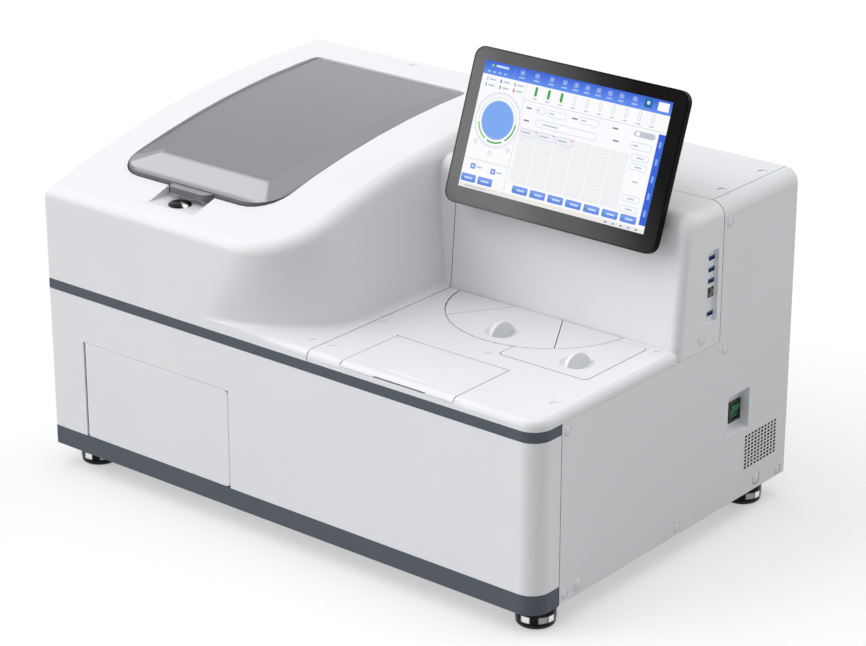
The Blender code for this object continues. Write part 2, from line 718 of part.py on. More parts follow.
def bevelled(body, width, segments=2):
    """All sharp edges rounded."""
    step = body.modifiers.new("edges", "BEVEL")
    step.width = width
    step.segments = segments
    step.limit_method = "ANGLE"
    graph = bpy.context.evaluated_depsgraph_get()
    mesh = bpy.data.meshes.new_from_object(body.evaluated_get(graph))
    body.modifiers.clear()
    body.data = mesh
    return body


def finish(body, name, finish_name, pivot=(0, 0, 0)):
    """Names a body, paints it and puts its origin on its pivot."""
    bm = bmesh.new()
    bm.from_mesh(body.data)
    bmesh.ops.remove_doubles(bm, verts=bm.verts, dist=TOUCH_GAP / 100)
    bmesh.ops.dissolve_degenerate(bm, edges=bm.edges, dist=TOUCH_GAP / 100)
    bmesh.ops.translate(bm, verts=bm.verts, vec=-Vector(pivot))
    mesh = bpy.data.meshes.new(name)
    bm.to_mesh(mesh)
    bm.free()
    mesh.shade_smooth()
    mesh.set_sharp_from_angle(angle=math.radians(28))
    colour, roughness, metallic = FINISHES[finish_name]
    paint = bpy.data.materials.new(name)
    paint.use_nodes = True
    shader = paint.node_tree.nodes["Principled BSDF"]
    shader.inputs["Base Color"].default_value = colour
    shader.inputs["Roughness"].default_value = roughness
    shader.inputs["Metallic"].default_value = metallic
    mesh.materials.clear()
    mesh.materials.append(paint)
    body.data = mesh
    body.name = name
    body.location = pivot
    return body


def wrap_outline(inset):
    """The front wrap from above, from the left seam round both corners to the right seam."""
    left = LEFT + inset
    right = RIGHT - inset
    front = FRONT + inset
    small = LEFT_CORNER_RADIUS - inset
    large = RIGHT_CORNER_RADIUS - inset
    points = [(left, depth(WRAP_DEPTH) - SEAM_GAP / 2)]
    points += arc((left + small, front + small), small, 180, 270, CORNER_STEPS)
    points += arc((right - large, front + large), large, 270, 360, CORNER_STEPS)
    points.append((right, depth(WRAP_DEPTH) - SEAM_GAP / 2))
    return points


def wrap_wall(low, high):
    """A wall of the front wrap between two heights."""
    outline = wrap_outline(0) + wrap_outline(SHELL_WALL)[::-1]
    return prism(outline, "z", low, high)


def door_axis():
    return (DOOR_LEFT + DOOR_THICKNESS / 2, depth(DOOR_THICKNESS / 2))


def door_lug(low):
    """A block behind the front wall that holds one end of the door's hinge rod."""
    x, y = door_axis()
    inner = depth(SHELL_WALL) - TOUCH_GAP
    return box((x - DOOR_LUG_WIDTH / 2, inner, low),
               (x + DOOR_LUG_WIDTH / 2, depth(SHELL_WALL + DOOR_LUG_DEPTH), low + DOOR_LUG_HEIGHT))


def door_rod_ends():
    return height(BASE_BAND_TOP) - DOOR_ROD_REACH, height(DOOR_TOP) + DOOR_ROD_REACH


def base_band():
    band = wrap_wall(height(-BASE_BAND_DROP), height(BASE_BAND_TOP))
    lug_low = height(BASE_BAND_TOP) - DOOR_LUG_HEIGHT
    unite(band, door_lug(lug_low))
    low, _ = door_rod_ends()
    bore = rod(door_axis(), DOOR_ROD_RADIUS + PIVOT_GAP, "z", low - TOUCH_GAP,
               height(BASE_BAND_TOP) + CUT_OVERRUN, FINE_SEGMENTS)
    return finish(cut(band, bore), "base_band", "band_grey")


def front_panel():
    low = height(BASE_BAND_TOP) + TOUCH_GAP
    panel = wrap_wall(low, height(MID_BAND_LOW) - TOUCH_GAP)
    opening = box((DOOR_LEFT - DOOR_SIDE_GAP, FRONT - CUT_OVERRUN, low - CUT_OVERRUN),
                  (DOOR_RIGHT + SEAM_GAP, depth(SHELL_WALL) + CUT_OVERRUN, height(DOOR_TOP) + SEAM_GAP))
    cut(panel, opening)
    unite(panel, door_lug(height(DOOR_TOP) + SEAM_GAP))
    _, high = door_rod_ends()
    bore = rod(door_axis(), DOOR_ROD_RADIUS + PIVOT_GAP, "z", height(DOOR_TOP) - CUT_OVERRUN,
               high + TOUCH_GAP, FINE_SEGMENTS)
    return finish(cut(panel, bore), "front_panel", "white_shell")


def mid_band():
    return finish(wrap_wall(height(MID_BAND_LOW), height(MID_BAND_TOP)), "mid_band", "band_grey")


def front_door():
    x, y = door_axis()
    radius = DOOR_THICKNESS / 2
    low = height(BASE_BAND_TOP) + SEAM_GAP
    high = height(DOOR_TOP)
    outline = arc((x, y), radius, 90, 270, CORNER_STEPS + 1)
    outline += [(DOOR_RIGHT, y - radius), (DOOR_RIGHT, y + radius)]
    bm = bmesh.new()
    face = bm.faces.new([bm.verts.new((point[0], point[1], low)) for point in outline])
    pulled = bmesh.ops.extrude_face_region(bm, geom=[face])
    top = [item for item in pulled["geom"] if isinstance(item, bmesh.types.BMVert)]
    bmesh.ops.translate(bm, verts=top, vec=(0, 0, high - low))
    corners = []
    for edge in bm.edges:
        a, b = (vert.co for vert in edge.verts)
        at_right = min(a.x, b.x) > DOOR_RIGHT - TOUCH_GAP
        if at_right and abs(a.y - b.y) > radius:
            corners.append(edge)
    bmesh.ops.bevel(bm, geom=corners, offset=DOOR_CORNER_RADIUS, segments=3,
                    profile=DOOR_CORNER_PROFILE_SHARE, affect="EDGES")
    door = body_from(bm)
    cut(door, rod((x, y), DOOR_ROD_RADIUS + PIVOT_GAP, "z", low - CUT_OVERRUN, high + CUT_OVERRUN,
                  FINE_SEGMENTS))
    return finish(door, "front_door", "white_shell", (x, y, low))


def door_hinge_rod():
    low, high = door_rod_ends()
    return finish(rod(door_axis(), DOOR_ROD_RADIUS, "z", low, high, FINE_SEGMENTS), "door_hinge_rod", "steel")


def feet_places():
    places = []
    for side, x in (("left", -FOOT_X), ("right", FOOT_X)):
        places.append(("front_" + side, x, depth(FOOT_FRONT_DEPTH)))
        places.append(("rear_" + side, x, depth(FOOT_REAR_DEPTH)))
    return places


def levelling_feet():
    drum = [(0, FOOT_DRUM_LOW), (FOOT_LOW_RADIUS, FOOT_DRUM_LOW), (FOOT_RADIUS, FOOT_DRUM_WIDEST_LOW),
            (FOOT_RADIUS, FOOT_DRUM_WIDEST_TOP)]
    drum += [(FOOT_SHOULDER_RADIUS + (FOOT_RADIUS - FOOT_SHOULDER_RADIUS) * math.cos(math.radians(turn)),
              FOOT_DRUM_WIDEST_TOP + (FOOT_DRUM_TOP - FOOT_DRUM_WIDEST_TOP) * math.sin(math.radians(turn)))
             for turn in (30, 60, 90)]
    stud_top = FOOT_HEIGHT + STUD_LENGTH
    drum += [(STUD_RADIUS, FOOT_DRUM_TOP), (STUD_RADIUS, stud_top), (0, stud_top)]
    pad_top = FOOT_DRUM_LOW - TOUCH_GAP
    pad = [(0, 0)]
    for step in range(PAD_ROUND_STEPS + 1):
        turn = math.radians(90 * step / PAD_ROUND_STEPS)
        pad.append((PAD_LOW_RADIUS + (PAD_RADIUS - PAD_LOW_RADIUS) * math.sin(turn),
                    PAD_ROUND_RISE * (1 - math.cos(turn))))
    pad += [(PAD_RADIUS, pad_top), (0, pad_top)]
    for where, x, y in feet_places():
        finish(turned(drum, x, y, TURNED_SEGMENTS), "foot_" + where, "chrome", (x, y, 0))
        finish(turned(pad, x, y, TURNED_SEGMENTS), "foot_pad_" + where, "rubber", (x, y, 0))


def pan_outline(inset):
    """The base pan from above; its right front corner follows the wrap."""
    edge = SHELL_WALL + TOUCH_GAP + inset
    left = LEFT + edge
    right = RIGHT - edge
    front = FRONT + edge
    back = BACK - SHEET_WALL - TOUCH_GAP - inset
    corner = RIGHT_CORNER_RADIUS - edge
    small = LEFT_CORNER_RADIUS - SHELL_WALL
    points = arc((left + small, front + small), small, 180, 270, 2)
    points += arc((right - corner, front + corner), corner, 270, 360, CORNER_STEPS)
    return points + [(right, back), (left, back)]


def base_pan():
    floor = height(SHEET_WALL)
    pan = prism(pan_outline(0), "z", height(0), height(PAN_FLANGE))
    cut(pan, prism(pan_outline(SHEET_WALL), "z", floor, height(PAN_FLANGE) + CUT_OVERRUN))
    for _, x, y in feet_places():
        cut(pan, rod((x, y), STUD_RADIUS + STUD_HOLE_GAP, "z", height(0) - CUT_OVERRUN, floor + CUT_OVERRUN,
                     FINE_SEGMENTS))
    return finish(pan, "base_pan", "zinc_sheet")


def deck_top():
    return height(DECK_HEIGHT) + DECK_THICKNESS


def inner_frame():
    """The deck that carries the mechanisms, on four legs that stand on the base pan."""
    left = LEFT + DECK_MARGIN
    right = RIGHT - DECK_MARGIN
    front = FRONT + DECK_MARGIN
    back = BACK - DECK_MARGIN
    frame = box((left, front, height(DECK_HEIGHT)), (right, back, deck_top()))
    foot = height(SHEET_WALL) + TOUCH_GAP
    leg_top = height(DECK_HEIGHT) + DECK_THICKNESS / 2
    for x in (left + LEG_INSET, right - LEG_INSET - LEG_WIDTH):
        for y in (depth(FOOT_FRONT_DEPTH) + LEG_WIDTH / 2, depth(FOOT_REAR_DEPTH) - 3 * LEG_WIDTH / 2):
            unite(frame, box((x, y, foot), (x + LEG_WIDTH, y + LEG_WIDTH, leg_top)))
    for x, y in ((REACTION_X, depth(REACTION_DEPTH)), (DISC_X, depth(DISC_DEPTH))):
        cut(frame, rod((x, y), MOTOR_PILOT_RADIUS + TOUCH_GAP, "z", height(DECK_HEIGHT) - CUT_OVERRUN,
                       deck_top() + CUT_OVERRUN, TURNED_SEGMENTS))
    return finish(frame, "inner_frame", "zinc_sheet")


def side_panel_outline():
    """The right side panel seen from the side: low in front under the desk edge, high beside the tower."""
    front = depth(WRAP_DEPTH) + SEAM_GAP / 2
    step = depth(TOWER_SEAM) + SEAM_GAP / 2
    low_top = height(MID_BAND_TOP)
    high_top = height(TOWER_TOP) - TOWER_SIDE_ROUND
    return [(front, height(0)), (BACK, height(0)), (BACK, high_top), (step, high_top), (step, low_top),
            (front, low_top)]


def side_roll():
    """The rolled edge that carries the right side panel over onto the tower's top."""
    centre = (RIGHT - TOWER_SIDE_ROUND, height(TOWER_TOP) - TOWER_SIDE_ROUND)
    outer = arc(centre, TOWER_SIDE_ROUND, 0, 90, TOWER_ROUND_STEPS)
    inner = arc(centre, TOWER_SIDE_ROUND - SHEET_WALL, 90, 0, TOWER_ROUND_STEPS)
    low = [(RIGHT - SHEET_WALL, centre[1] - SHEET_WALL), (RIGHT, centre[1] - SHEET_WALL)]
    return prism(outer + inner + low, "y", depth(TOWER_SEAM) + SEAM_GAP / 2, BACK)


def switch_recess_outline(grow, outer_x):
    """The recess seen from the front: deep at the floor, with a sloping sill."""
    floor_x = RIGHT - SWITCH_RECESS_DEPTH - grow
    low = height(SWITCH_RECESS_LOW) - grow
    top = height(SWITCH_RECESS_TOP) + grow
    return [(outer_x, low), (outer_x, top), (floor_x, top), (floor_x, low + SWITCH_RECESS_SLOPE)]


def vent_holes():
    """The rows of punched holes of the vent, as one cutting body."""
    bm = bmesh.new()
    pitch_y = (VENT_REAR - VENT_FRONT - VENT_HOLE_WIDTH) / (VENT_COLUMNS - 1)
    pitch_z = (VENT_TOP - VENT_LOW - VENT_HOLE_HEIGHT) / (VENT_ROWS - 1)
    for column in range(VENT_COLUMNS):
        for row in range(VENT_ROWS):
            y = depth(VENT_FRONT + VENT_HOLE_WIDTH / 2 + pitch_y * column)
            z = height(VENT_LOW + VENT_HOLE_HEIGHT / 2 + pitch_z * row)
            size = Matrix.Diagonal((SHEET_WALL + CUT_OVERRUN, VENT_HOLE_WIDTH, VENT_HOLE_HEIGHT, 1))
            shift = Matrix.Translation((RIGHT - SHEET_WALL / 2, y, z))
            bmesh.ops.create_cube(bm, size=1, matrix=shift @ size)
    return body_from(bm)


def right_side_panel():
    panel = prism(side_panel_outline(), "x", RIGHT - SHEET_WALL, RIGHT)
    unite(panel, side_roll())
    unite(panel, prism(switch_recess_outline(SHEET_WALL, RIGHT - SHEET_WALL / 2), "y",
                       depth(SWITCH_RECESS_FRONT) - SHEET_WALL, depth(SWITCH_RECESS_REAR) + SHEET_WALL))
    cut(panel, prism(switch_recess_outline(0, RIGHT + CUT_OVERRUN), "y",
                     depth(SWITCH_RECESS_FRONT), depth(SWITCH_RECESS_REAR)))
    half_width = SWITCH_WIDTH / 2 - SWITCH_BORDER + TOUCH_GAP
    half_length = SWITCH_LENGTH / 2 - SWITCH_BORDER + TOUCH_GAP
    floor_x = RIGHT - SWITCH_RECESS_DEPTH
    y = depth(SWITCH_DEPTH)
    z = height(SWITCH_HEIGHT)
    cut(panel, box((floor_x - CUT_OVERRUN, y - half_width, z - half_length),
                   (floor_x + CUT_OVERRUN, y + half_width, z + half_length)))
    cut(panel, vent_holes())
    return finish(panel, "right_side_panel", "white_sheet")


def left_side_panel():
    panel = box((LEFT, depth(WRAP_DEPTH) + SEAM_GAP / 2, height(0)),
                (LEFT + SHEET_WALL, BACK, height(MID_BAND_TOP)))
    return finish(panel, "left_side_panel", "white_sheet")


def rear_panel():
    side = SHEET_WALL + TOUCH_GAP
    panel = box((LEFT + side, BACK - SHEET_WALL, height(0)), (RIGHT - side, BACK, height(MID_BAND_TOP)))
    low = BACK - SHEET_WALL - CUT_OVERRUN
    high = BACK + CUT_OVERRUN
    cut(panel, box((INLET_X - INLET_WIDTH / 2 - TOUCH_GAP, low,
                    height(INLET_HEIGHT) - INLET_RISE / 2 - TOUCH_GAP),
                   (INLET_X + INLET_WIDTH / 2 + TOUCH_GAP, high,
                    height(INLET_HEIGHT) + INLET_RISE / 2 + TOUCH_GAP)))
    pitch = 2 * FAN_BORE_RADIUS / GRILLE_SLOTS
    for slot in range(GRILLE_SLOTS):
        offset = (slot - (GRILLE_SLOTS - 1) / 2) * pitch
        reach = math.sqrt(FAN_BORE_RADIUS ** 2 - offset ** 2)
        cut(panel, box((FAN_X + offset - GRILLE_SLOT_WIDTH / 2, low, height(FAN_HEIGHT) - reach),
                       (FAN_X + offset + GRILLE_SLOT_WIDTH / 2, high, height(FAN_HEIGHT) + reach)))
    for hole in range(PORT_HOLES):
        cut(panel, rod((PORT_HOLE_X - hole * PORT_HOLE_PITCH, height(PORT_HOLE_HEIGHT)),
                       PORT_HOLE_RADIUS, "y", low, high, FINE_SEGMENTS))
    return finish(panel, "rear_panel", "white_sheet")


def hood_top(y):
    """Height of the hood's top skin at a place along Y."""
    share = min(max((y - FRONT) / CASE_DEPTH, 0), 1)
    return height(HOOD_REAR_TOP - (HOOD_REAR_TOP - HOOD_FRONT_TOP) * (1 - share) ** HOOD_CURVE_POWER)


def hood_plan(right, corner_width, corner_depth, insets):
    """One plan outline of the hood; insets are for its left, front, right and rear side.

    It runs from the left front corner along the front, round the right corner, back, and forward on the left.
    """
    left_in, front_in, right_in, rear_in = insets
    left = LEFT + left_in
    front = FRONT + front_in
    side = right - right_in
    back = BACK - rear_in
    small = max(LEFT_CORNER_RADIUS - max(left_in, front_in), TOUCH_GAP)
    points = arc((left + small, front + small), small, 180, 270, EDGE_ROUND_STEPS)
    centre_x = right - corner_width
    centre_y = FRONT + corner_depth
    for step in range(HOOD_CORNER_STEPS + 1):
        angle = math.radians(90 * step / HOOD_CORNER_STEPS)
        points.append((centre_x + (side - centre_x) * math.sin(angle),
                       centre_y - (centre_y - front) * math.cos(angle)))
    for step in range(1, HOOD_SIDE_STEPS + 1):
        points.append((side, centre_y + (back - centre_y) * step / HOOD_SIDE_STEPS))
    rows = HOOD_SIDE_STEPS + 3
    start = front + small
    for step in range(rows):
        points.append((left, back + (start - back) * step / rows))
    return points


def ledge_plan(inset):
    """The plan of the strip that the hood stands on, with as many points as the hood's own plans."""
    points = hood_plan(DESK_SEAM_X - SEAM_GAP / 2, HOOD_FOOT_CORNER_WIDTH, HOOD_FOOT_CORNER_DEPTH,
                       (inset, inset, inset, inset))
    side = DESK_SEAM_X - SEAM_GAP / 2 - inset
    start_x = HOOD_FOOT_RIGHT - HOOD_FOOT_CORNER_WIDTH
    middle = HOOD_CORNER_STEPS / 2
    first = EDGE_ROUND_STEPS + 1
    for step in range(HOOD_CORNER_STEPS + 1):
        if step <= middle:
            points[first + step] = (start_x + (side - start_x) * step / middle, FRONT + inset)
        else:
            share = (step - middle) / (HOOD_CORNER_STEPS - middle)
            points[first + step] = (side, FRONT + inset + (HOOD_FOOT_CORNER_DEPTH - inset) * share)
    return points


def hood_split(ring):
    """The left and the right chain of a hood ring, both from front to rear."""
    first = EDGE_ROUND_STEPS
    last_right = first + 1 + HOOD_CORNER_STEPS + HOOD_SIDE_STEPS
    right = ring[first + 1:last_right + 1]
    left = ring[:first + 1][::-1] + ring[last_right + 1:][::-1]
    return left, right


def hood_solid(wall, low):
    """The hood's outer form, or its hollow when wall is given, down to the height low."""
    ledge_top = height(DESK_TOP) - wall
    ledge = ledge_plan(wall)
    foot = hood_plan(HOOD_FOOT_RIGHT, HOOD_FOOT_CORNER_WIDTH, HOOD_FOOT_CORNER_DEPTH, (wall,) * 4)
    first = EDGE_ROUND_STEPS + 1
    last = first + HOOD_CORNER_STEPS + HOOD_SIDE_STEPS
    coves = []
    rounds = []
    for index, point in enumerate(foot):
        on_ledge = first <= index <= last
        clear = point[1] - FRONT - wall
        coves.append(min(HOOD_COVE, COVE_CLEAR_SHARE * clear) if on_ledge else 0)
        rounds.append(min(DESK_EDGE_ROUND, LEDGE_ROUND_SHARE * (clear - coves[-1])) if on_ledge else 0)
    rings = [[(x, y, low) for x, y in ledge],
             [(x, y, ledge_top - DESK_EDGE_ROUND) for x, y in ledge]]
    for step in range(1, EDGE_ROUND_STEPS + 1):
        angle = math.radians(90 * step / EDGE_ROUND_STEPS)
        ring = []
        for (x, y), radius in zip(ledge, rounds):
            inset = FRONT + wall + radius * (1 - math.cos(angle))
            ring.append((x, max(y, inset), ledge_top - DESK_EDGE_ROUND * (1 - math.sin(angle))))
        rings.append(ring)
    outward = hood_plan(HOOD_FOOT_RIGHT, HOOD_FOOT_CORNER_WIDTH, HOOD_FOOT_CORNER_DEPTH,
                        (wall, wall - HOOD_COVE, wall - HOOD_COVE, wall))
    for step in range(EDGE_ROUND_STEPS):
        angle = math.radians(90 * step / EDGE_ROUND_STEPS)
        ring = []
        for here, out, radius in zip(foot, outward, coves):
            reach = radius / HOOD_COVE * (1 - math.sin(angle))
            ring.append((here[0] + (out[0] - here[0]) * reach, here[1] + (out[1] - here[1]) * reach,
                         ledge_top + TOUCH_GAP / 10 + HOOD_COVE * (1 - math.cos(angle))))
        rings.append(ring)
    crest = hood_plan(HOOD_CREST_RIGHT, HOOD_CREST_CORNER_WIDTH, HOOD_CREST_CORNER_DEPTH, (wall,) * 4)
    foot_top = ledge_top + HOOD_COVE
    rings.append([(x, y, foot_top) for x, y in foot])
    inner = hood_plan(HOOD_CREST_RIGHT, HOOD_CREST_CORNER_WIDTH, HOOD_CREST_CORNER_DEPTH,
                      (HOOD_EDGE_ROUND + wall, HOOD_EDGE_ROUND + wall, HOOD_RIGHT_ROUND + wall,
                       HOOD_REAR_ROUND + wall))
    drops = []
    for index, (x, y) in enumerate(crest):
        corner = min(max((index - first) / HOOD_CORNER_STEPS, 0), 1) if index <= last else 0
        drops.append(HOOD_EDGE_ROUND + (HOOD_RIGHT_ROUND - HOOD_EDGE_ROUND) * corner)
    for step in range(HOOD_ROUND_STEPS + 1):
        angle = math.radians(90 * step / HOOD_ROUND_STEPS)
        ring = []
        for edge, top, drop in zip(crest, inner, drops):
            x = edge[0] + (top[0] - edge[0]) * (1 - math.cos(angle))
            y = edge[1] + (top[1] - edge[1]) * (1 - math.cos(angle))
            ring.append((x, y, hood_top(y) - wall - drop * (1 - math.sin(angle))))
        rings.append(ring)
    return bent_loft(rings, hood_split, flat_low=True)


def tower_face(z):
    """Y of the tower's leaning front face at a height."""
    return depth(TOWER_FRONT) + (z - height(DESK_TOP)) * TOWER_LEAN_SHARE


def tower_section(x, front_in, top_in, rear, low):
    """One cross section of the tower at x, drawn in depth and height."""
    top = height(TOWER_TOP) - top_in
    radius = TOWER_TOP_ROUND
    start = tower_face(top - radius) + front_in
    points = [(tower_face(low) + front_in, low)]
    points += arc((start + radius, top - radius), radius, 180, 90, TOWER_ROUND_STEPS)
    points += [(rear, top), (rear, low)]
    return [(x, y, z) for y, z in points]


def round_drop(distance, radius):
    """How far a rounded edge falls back at a distance inside its end."""
    if distance >= radius:
        return 0
    return radius - math.sqrt(radius ** 2 - (radius - distance) ** 2)


def tower_solid(left, right, round_left, round_right, wall, rear, low):
    """The tower's outer form between two places across, or its hollow when wall is given."""
    stations = [left]
    turns = [90 * step / TOWER_ROUND_STEPS for step in range(TOWER_ROUND_STEPS + 1)]
    if round_left:
        stations = [left + round_left * (1 - math.cos(math.radians(turn))) for turn in turns]
    if round_right:
        stations += [right - round_right * (1 - math.sin(math.radians(turn))) for turn in turns]
    else:
        stations.append(right)
    rings = []
    for x in stations:
        front_in = wall
        top_in = wall
        if round_left:
            front_in += round_drop(x - left, round_left)
            top_in += round_drop(x - left, round_left)
        if round_right:
            front_in += round_drop(right - x, TOWER_CORNER_ROUND)
            top_in += round_drop(right - x, round_right)
        rings.append(tower_section(x, front_in, top_in, rear, low))
    return loft(rings)


def lid_outline(grow):
    """The lid from above, front left corner first, anticlockwise."""
    left = LID_LEFT - grow
    right = LID_RIGHT + grow
    front = depth(LID_FRONT) - grow
    rear = depth(LID_REAR) + grow
    corners = [(left, front), (right, front), (right, rear), (left, rear)]
    radii = [LID_FRONT_CORNER + grow] * 2 + [max(LID_REAR_CORNER + grow, TOUCH_GAP)] * 2
    return rounded_outline(corners, radii, LID_CORNER_STEPS, (1, LID_SIDE_STEPS, 1, LID_SIDE_STEPS))


def panel_outline(grow):
    """The lid's inset panel from above, wider at the rear."""
    front = depth(LID_FRONT + LID_FACET_FRONT) - grow
    rear = depth(LID_REAR - LID_FACET_REAR) + grow
    corners = [(LID_LEFT + LID_FACET_SIDE_FRONT - grow, front),
               (LID_RIGHT - LID_FACET_SIDE_FRONT + grow, front),
               (LID_RIGHT - LID_FACET_SIDE_REAR + grow, rear),
               (LID_LEFT + LID_FACET_SIDE_REAR - grow, rear)]
    radii = [max(LID_PANEL_CORNER + grow, TOUCH_GAP)] * 4
    return rounded_outline(corners, radii, LID_CORNER_STEPS, (1, LID_SIDE_STEPS, 1, LID_SIDE_STEPS))


def over_hood(outline, rise):
    """An outline laid over the hood's top skin, rise above it."""
    return [(x, y, hood_top(y) + rise) for x, y in outline]


def crowned(outline, drop):
    """An outline on the lid's crown, which dies out towards the rear."""
    ring = []
    for x, y in outline:
        share = (depth(LID_REAR) - y) / (LID_REAR - LID_FRONT)
        ring.append((x, y, hood_top(y) + LID_CROWN * share - drop))
    return ring


def rim(outline, rise):
    """An outline on the lid's rim, which stands proud in front and sinks into the opening at the sides."""
    ring = []
    for x, y in outline:
        share = max(0, 1 - (y - depth(LID_FRONT)) / LID_RIM_FADE)
        lift = (LID_RIM_FRONT_RISE + LID_RIM_SIDE_DROP) * share ** 2 - LID_RIM_SIDE_DROP
        ring.append((x, y, hood_top(y) + lift + rise))
    return ring


def lid_axis():
    y = depth(LID_REAR - LID_AXIS_FROM_REAR)
    return y, hood_top(depth(LID_REAR)) - LID_AXIS_DROP


def pocket_block():
    """Solid stock under the hood skin that the button pocket is cut from."""
    front = depth(POCKET_FRONT) - POCKET_WALL
    rear = depth(LID_FRONT - LID_GAP - SEAT_WALL) - TOUCH_GAP
    rows = 4
    outline = []
    for step in range(rows + 1):
        y = front + (rear - front) * step / rows
        outline.append((y, hood_top(y) - SHELL_WALL / 2))
    low = height(POCKET_FLOOR) - POCKET_WALL
    outline[0] = (front, low + POCKET_WALL / 2)
    outline += [(rear, low), (front, low)]
    return prism(outline, "x", POCKET_LEFT - POCKET_WALL, POCKET_RIGHT + POCKET_WALL)


def hood_cover():
    """The hood in one shell with the pillar that joins the tower."""
    low = height(MID_BAND_TOP) + TOUCH_GAP
    seam = DESK_SEAM_X - SEAM_GAP / 2
    hood = hood_solid(0, low)
    unite(hood, tower_solid(PILLAR_LEFT, seam, PILLAR_ROUND, 0, 0, BACK, low + TOUCH_GAP))
    cut(hood, hood_solid(SHELL_WALL, low - CUT_OVERRUN))
    inner_round = PILLAR_ROUND - SHELL_WALL
    inner_back = BACK - SHELL_WALL
    inner_low = low - CUT_OVERRUN
    cut(hood, tower_solid(PILLAR_LEFT + SHELL_WALL, seam + CUT_OVERRUN, inner_round, 0, SHELL_WALL,
                          inner_back, inner_low))
    cut(hood, tower_solid(PILLAR_INNER_LEFT, PILLAR_LEFT + PILLAR_ROUND, 0, 0, SHELL_WALL + PILLAR_ROUND,
                          inner_back, inner_low))
    unite(hood, pocket_block())
    top = height(HOOD_REAR_TOP) + CUT_OVERRUN
    cut(hood, box((POCKET_LEFT, depth(POCKET_FRONT), height(POCKET_FLOOR)),
                  (POCKET_RIGHT, depth(LID_FRONT), top)))
    cut(hood, prism(lid_outline(LID_GAP), "z", height(HOOD_FRONT_TOP) - SHELL_WALL, top))
    cut(hood, rod((BUTTON_X, depth(BUTTON_DEPTH)), BUTTON_RADIUS + PIVOT_GAP, "z",
                  height(POCKET_FLOOR) - POCKET_WALL - CUT_OVERRUN, height(POCKET_FLOOR) + CUT_OVERRUN,
                  TURNED_SEGMENTS))
    return finish(hood, "hood_cover", "white_shell")


def lid_seat():
    """The frame under the hood opening: a wall round it, a ledge that the lid lies on and the rod's bores."""
    inner = lid_outline(LID_GAP)
    outer = lid_outline(LID_GAP + SEAT_WALL)
    ledge = lid_outline(LID_GAP - SEAT_LEDGE)
    top = -SHELL_WALL - TOUCH_GAP
    rest = -LID_RIM_LOW - SEAT_REST_GAP
    bottom = rest - SEAT_LEDGE_THICKNESS
    seat = loft([over_hood(outer, bottom), over_hood(outer, top), over_hood(inner, top),
                 over_hood(inner, rest), over_hood(ledge, rest), over_hood(ledge, bottom)],
                ring_closed=True)
    y, z = lid_axis()
    inside_left = LID_LEFT - LID_GAP
    inside_right = LID_RIGHT + LID_GAP
    limit = depth(LID_REAR - SEAT_REAR_OPEN)
    rear = depth(LID_REAR) + LID_GAP
    corners = [(inside_left, limit), (inside_right, limit), (inside_right, rear), (inside_left, rear)]
    swing = rounded_outline(corners, [TOUCH_GAP] * 2 + [LID_REAR_CORNER] * 2, LID_CORNER_STEPS, (1, 1, 1, 1))
    cut(seat, prism(swing, "z", z - SEAT_REAR_OPEN, hood_top(BACK)))
    cut(seat, box((POCKET_LEFT, depth(POCKET_FRONT), height(POCKET_FLOOR)),
                  (POCKET_RIGHT, depth(LID_FRONT) - TOUCH_GAP, height(HOOD_REAR_TOP))))
    cut(seat, rod((y, z), LID_ROD_RADIUS + PIVOT_GAP, "x", inside_left - SEAT_WALL - CUT_OVERRUN,
                  inside_right + SEAT_WALL + CUT_OVERRUN, FINE_SEGMENTS))
    return finish(seat, "lid_seat", "white_shell")


def lid_tab():
    """The pull tab in front of the lid."""
    root = depth(LID_FRONT + LID_TAB_ROOT)
    front = depth(LID_TAB_FRONT)
    corners = [(LID_TAB_LEFT, root), (LID_TAB_LEFT + LID_TAB_TAPER, front),
               (LID_TAB_RIGHT - LID_TAB_TAPER, front), (LID_TAB_RIGHT, root)]
    outline = rounded_outline(corners, [TOUCH_GAP, LID_TAB_TAPER, LID_TAB_TAPER, TOUCH_GAP], 3, (1, 1, 1, 1))
    top = height(LID_TAB_TOP)
    return prism(outline, "z", top - LID_TAB_THICKNESS, top)


def lid_frame():
    y, z = lid_axis()
    edge = lid_outline(0)
    inner_edge = lid_outline(-LID_SKIRT_WALL)
    panel = panel_outline(0)
    rebate = panel_outline(-LID_REBATE)
    seat_drop = LID_PANEL_THICKNESS + TOUCH_GAP
    frame = loft([over_hood(edge, -LID_RIM_LOW), rim(edge, 0),
                  rim(lid_outline(-LID_SHOULDER_IN), LID_SHOULDER_RISE), crowned(panel, 0),
                  crowned(panel, seat_drop), crowned(rebate, seat_drop),
                  crowned(rebate, seat_drop + LID_REBATE_WALL), rim(inner_edge, -LID_SKIRT_WALL),
                  over_hood(inner_edge, -LID_RIM_LOW)], ring_closed=True)
    left = LID_LEFT + LID_BARREL_INSET
    right = LID_RIGHT - LID_BARREL_INSET
    unite(frame, rod((y, z), LID_BARREL_RADIUS, "x", left, right, FINE_SEGMENTS))
    unite(frame, lid_tab())
    cut(frame, rod((y, z), LID_ROD_RADIUS + PIVOT_GAP, "x", LID_LEFT - CUT_OVERRUN, LID_RIGHT + CUT_OVERRUN,
                   FINE_SEGMENTS))
    return finish(frame, "lid_frame", "smoke_frame", ((left + right) / 2, y, z))


def lid_panel():
    """The smoked panel that lies in the lid frame's rebate."""
    outline = panel_outline(-TOUCH_GAP)
    points = len(outline)
    per_corner = LID_CORNER_STEPS + 1

    def split(ring):
        right = ring[per_corner:3 * per_corner + LID_SIDE_STEPS - 1]
        left = ring[:per_corner][::-1] + ring[points - 1:3 * per_corner + LID_SIDE_STEPS - 2:-1]
        return left, right

    plate = bent_loft([crowned(outline, LID_PANEL_THICKNESS), crowned(outline, 0)], split)
    y, z = lid_axis()
    return finish(plate, "lid_panel", "smoke_panel", ((LID_LEFT + LID_RIGHT) / 2, y, z))


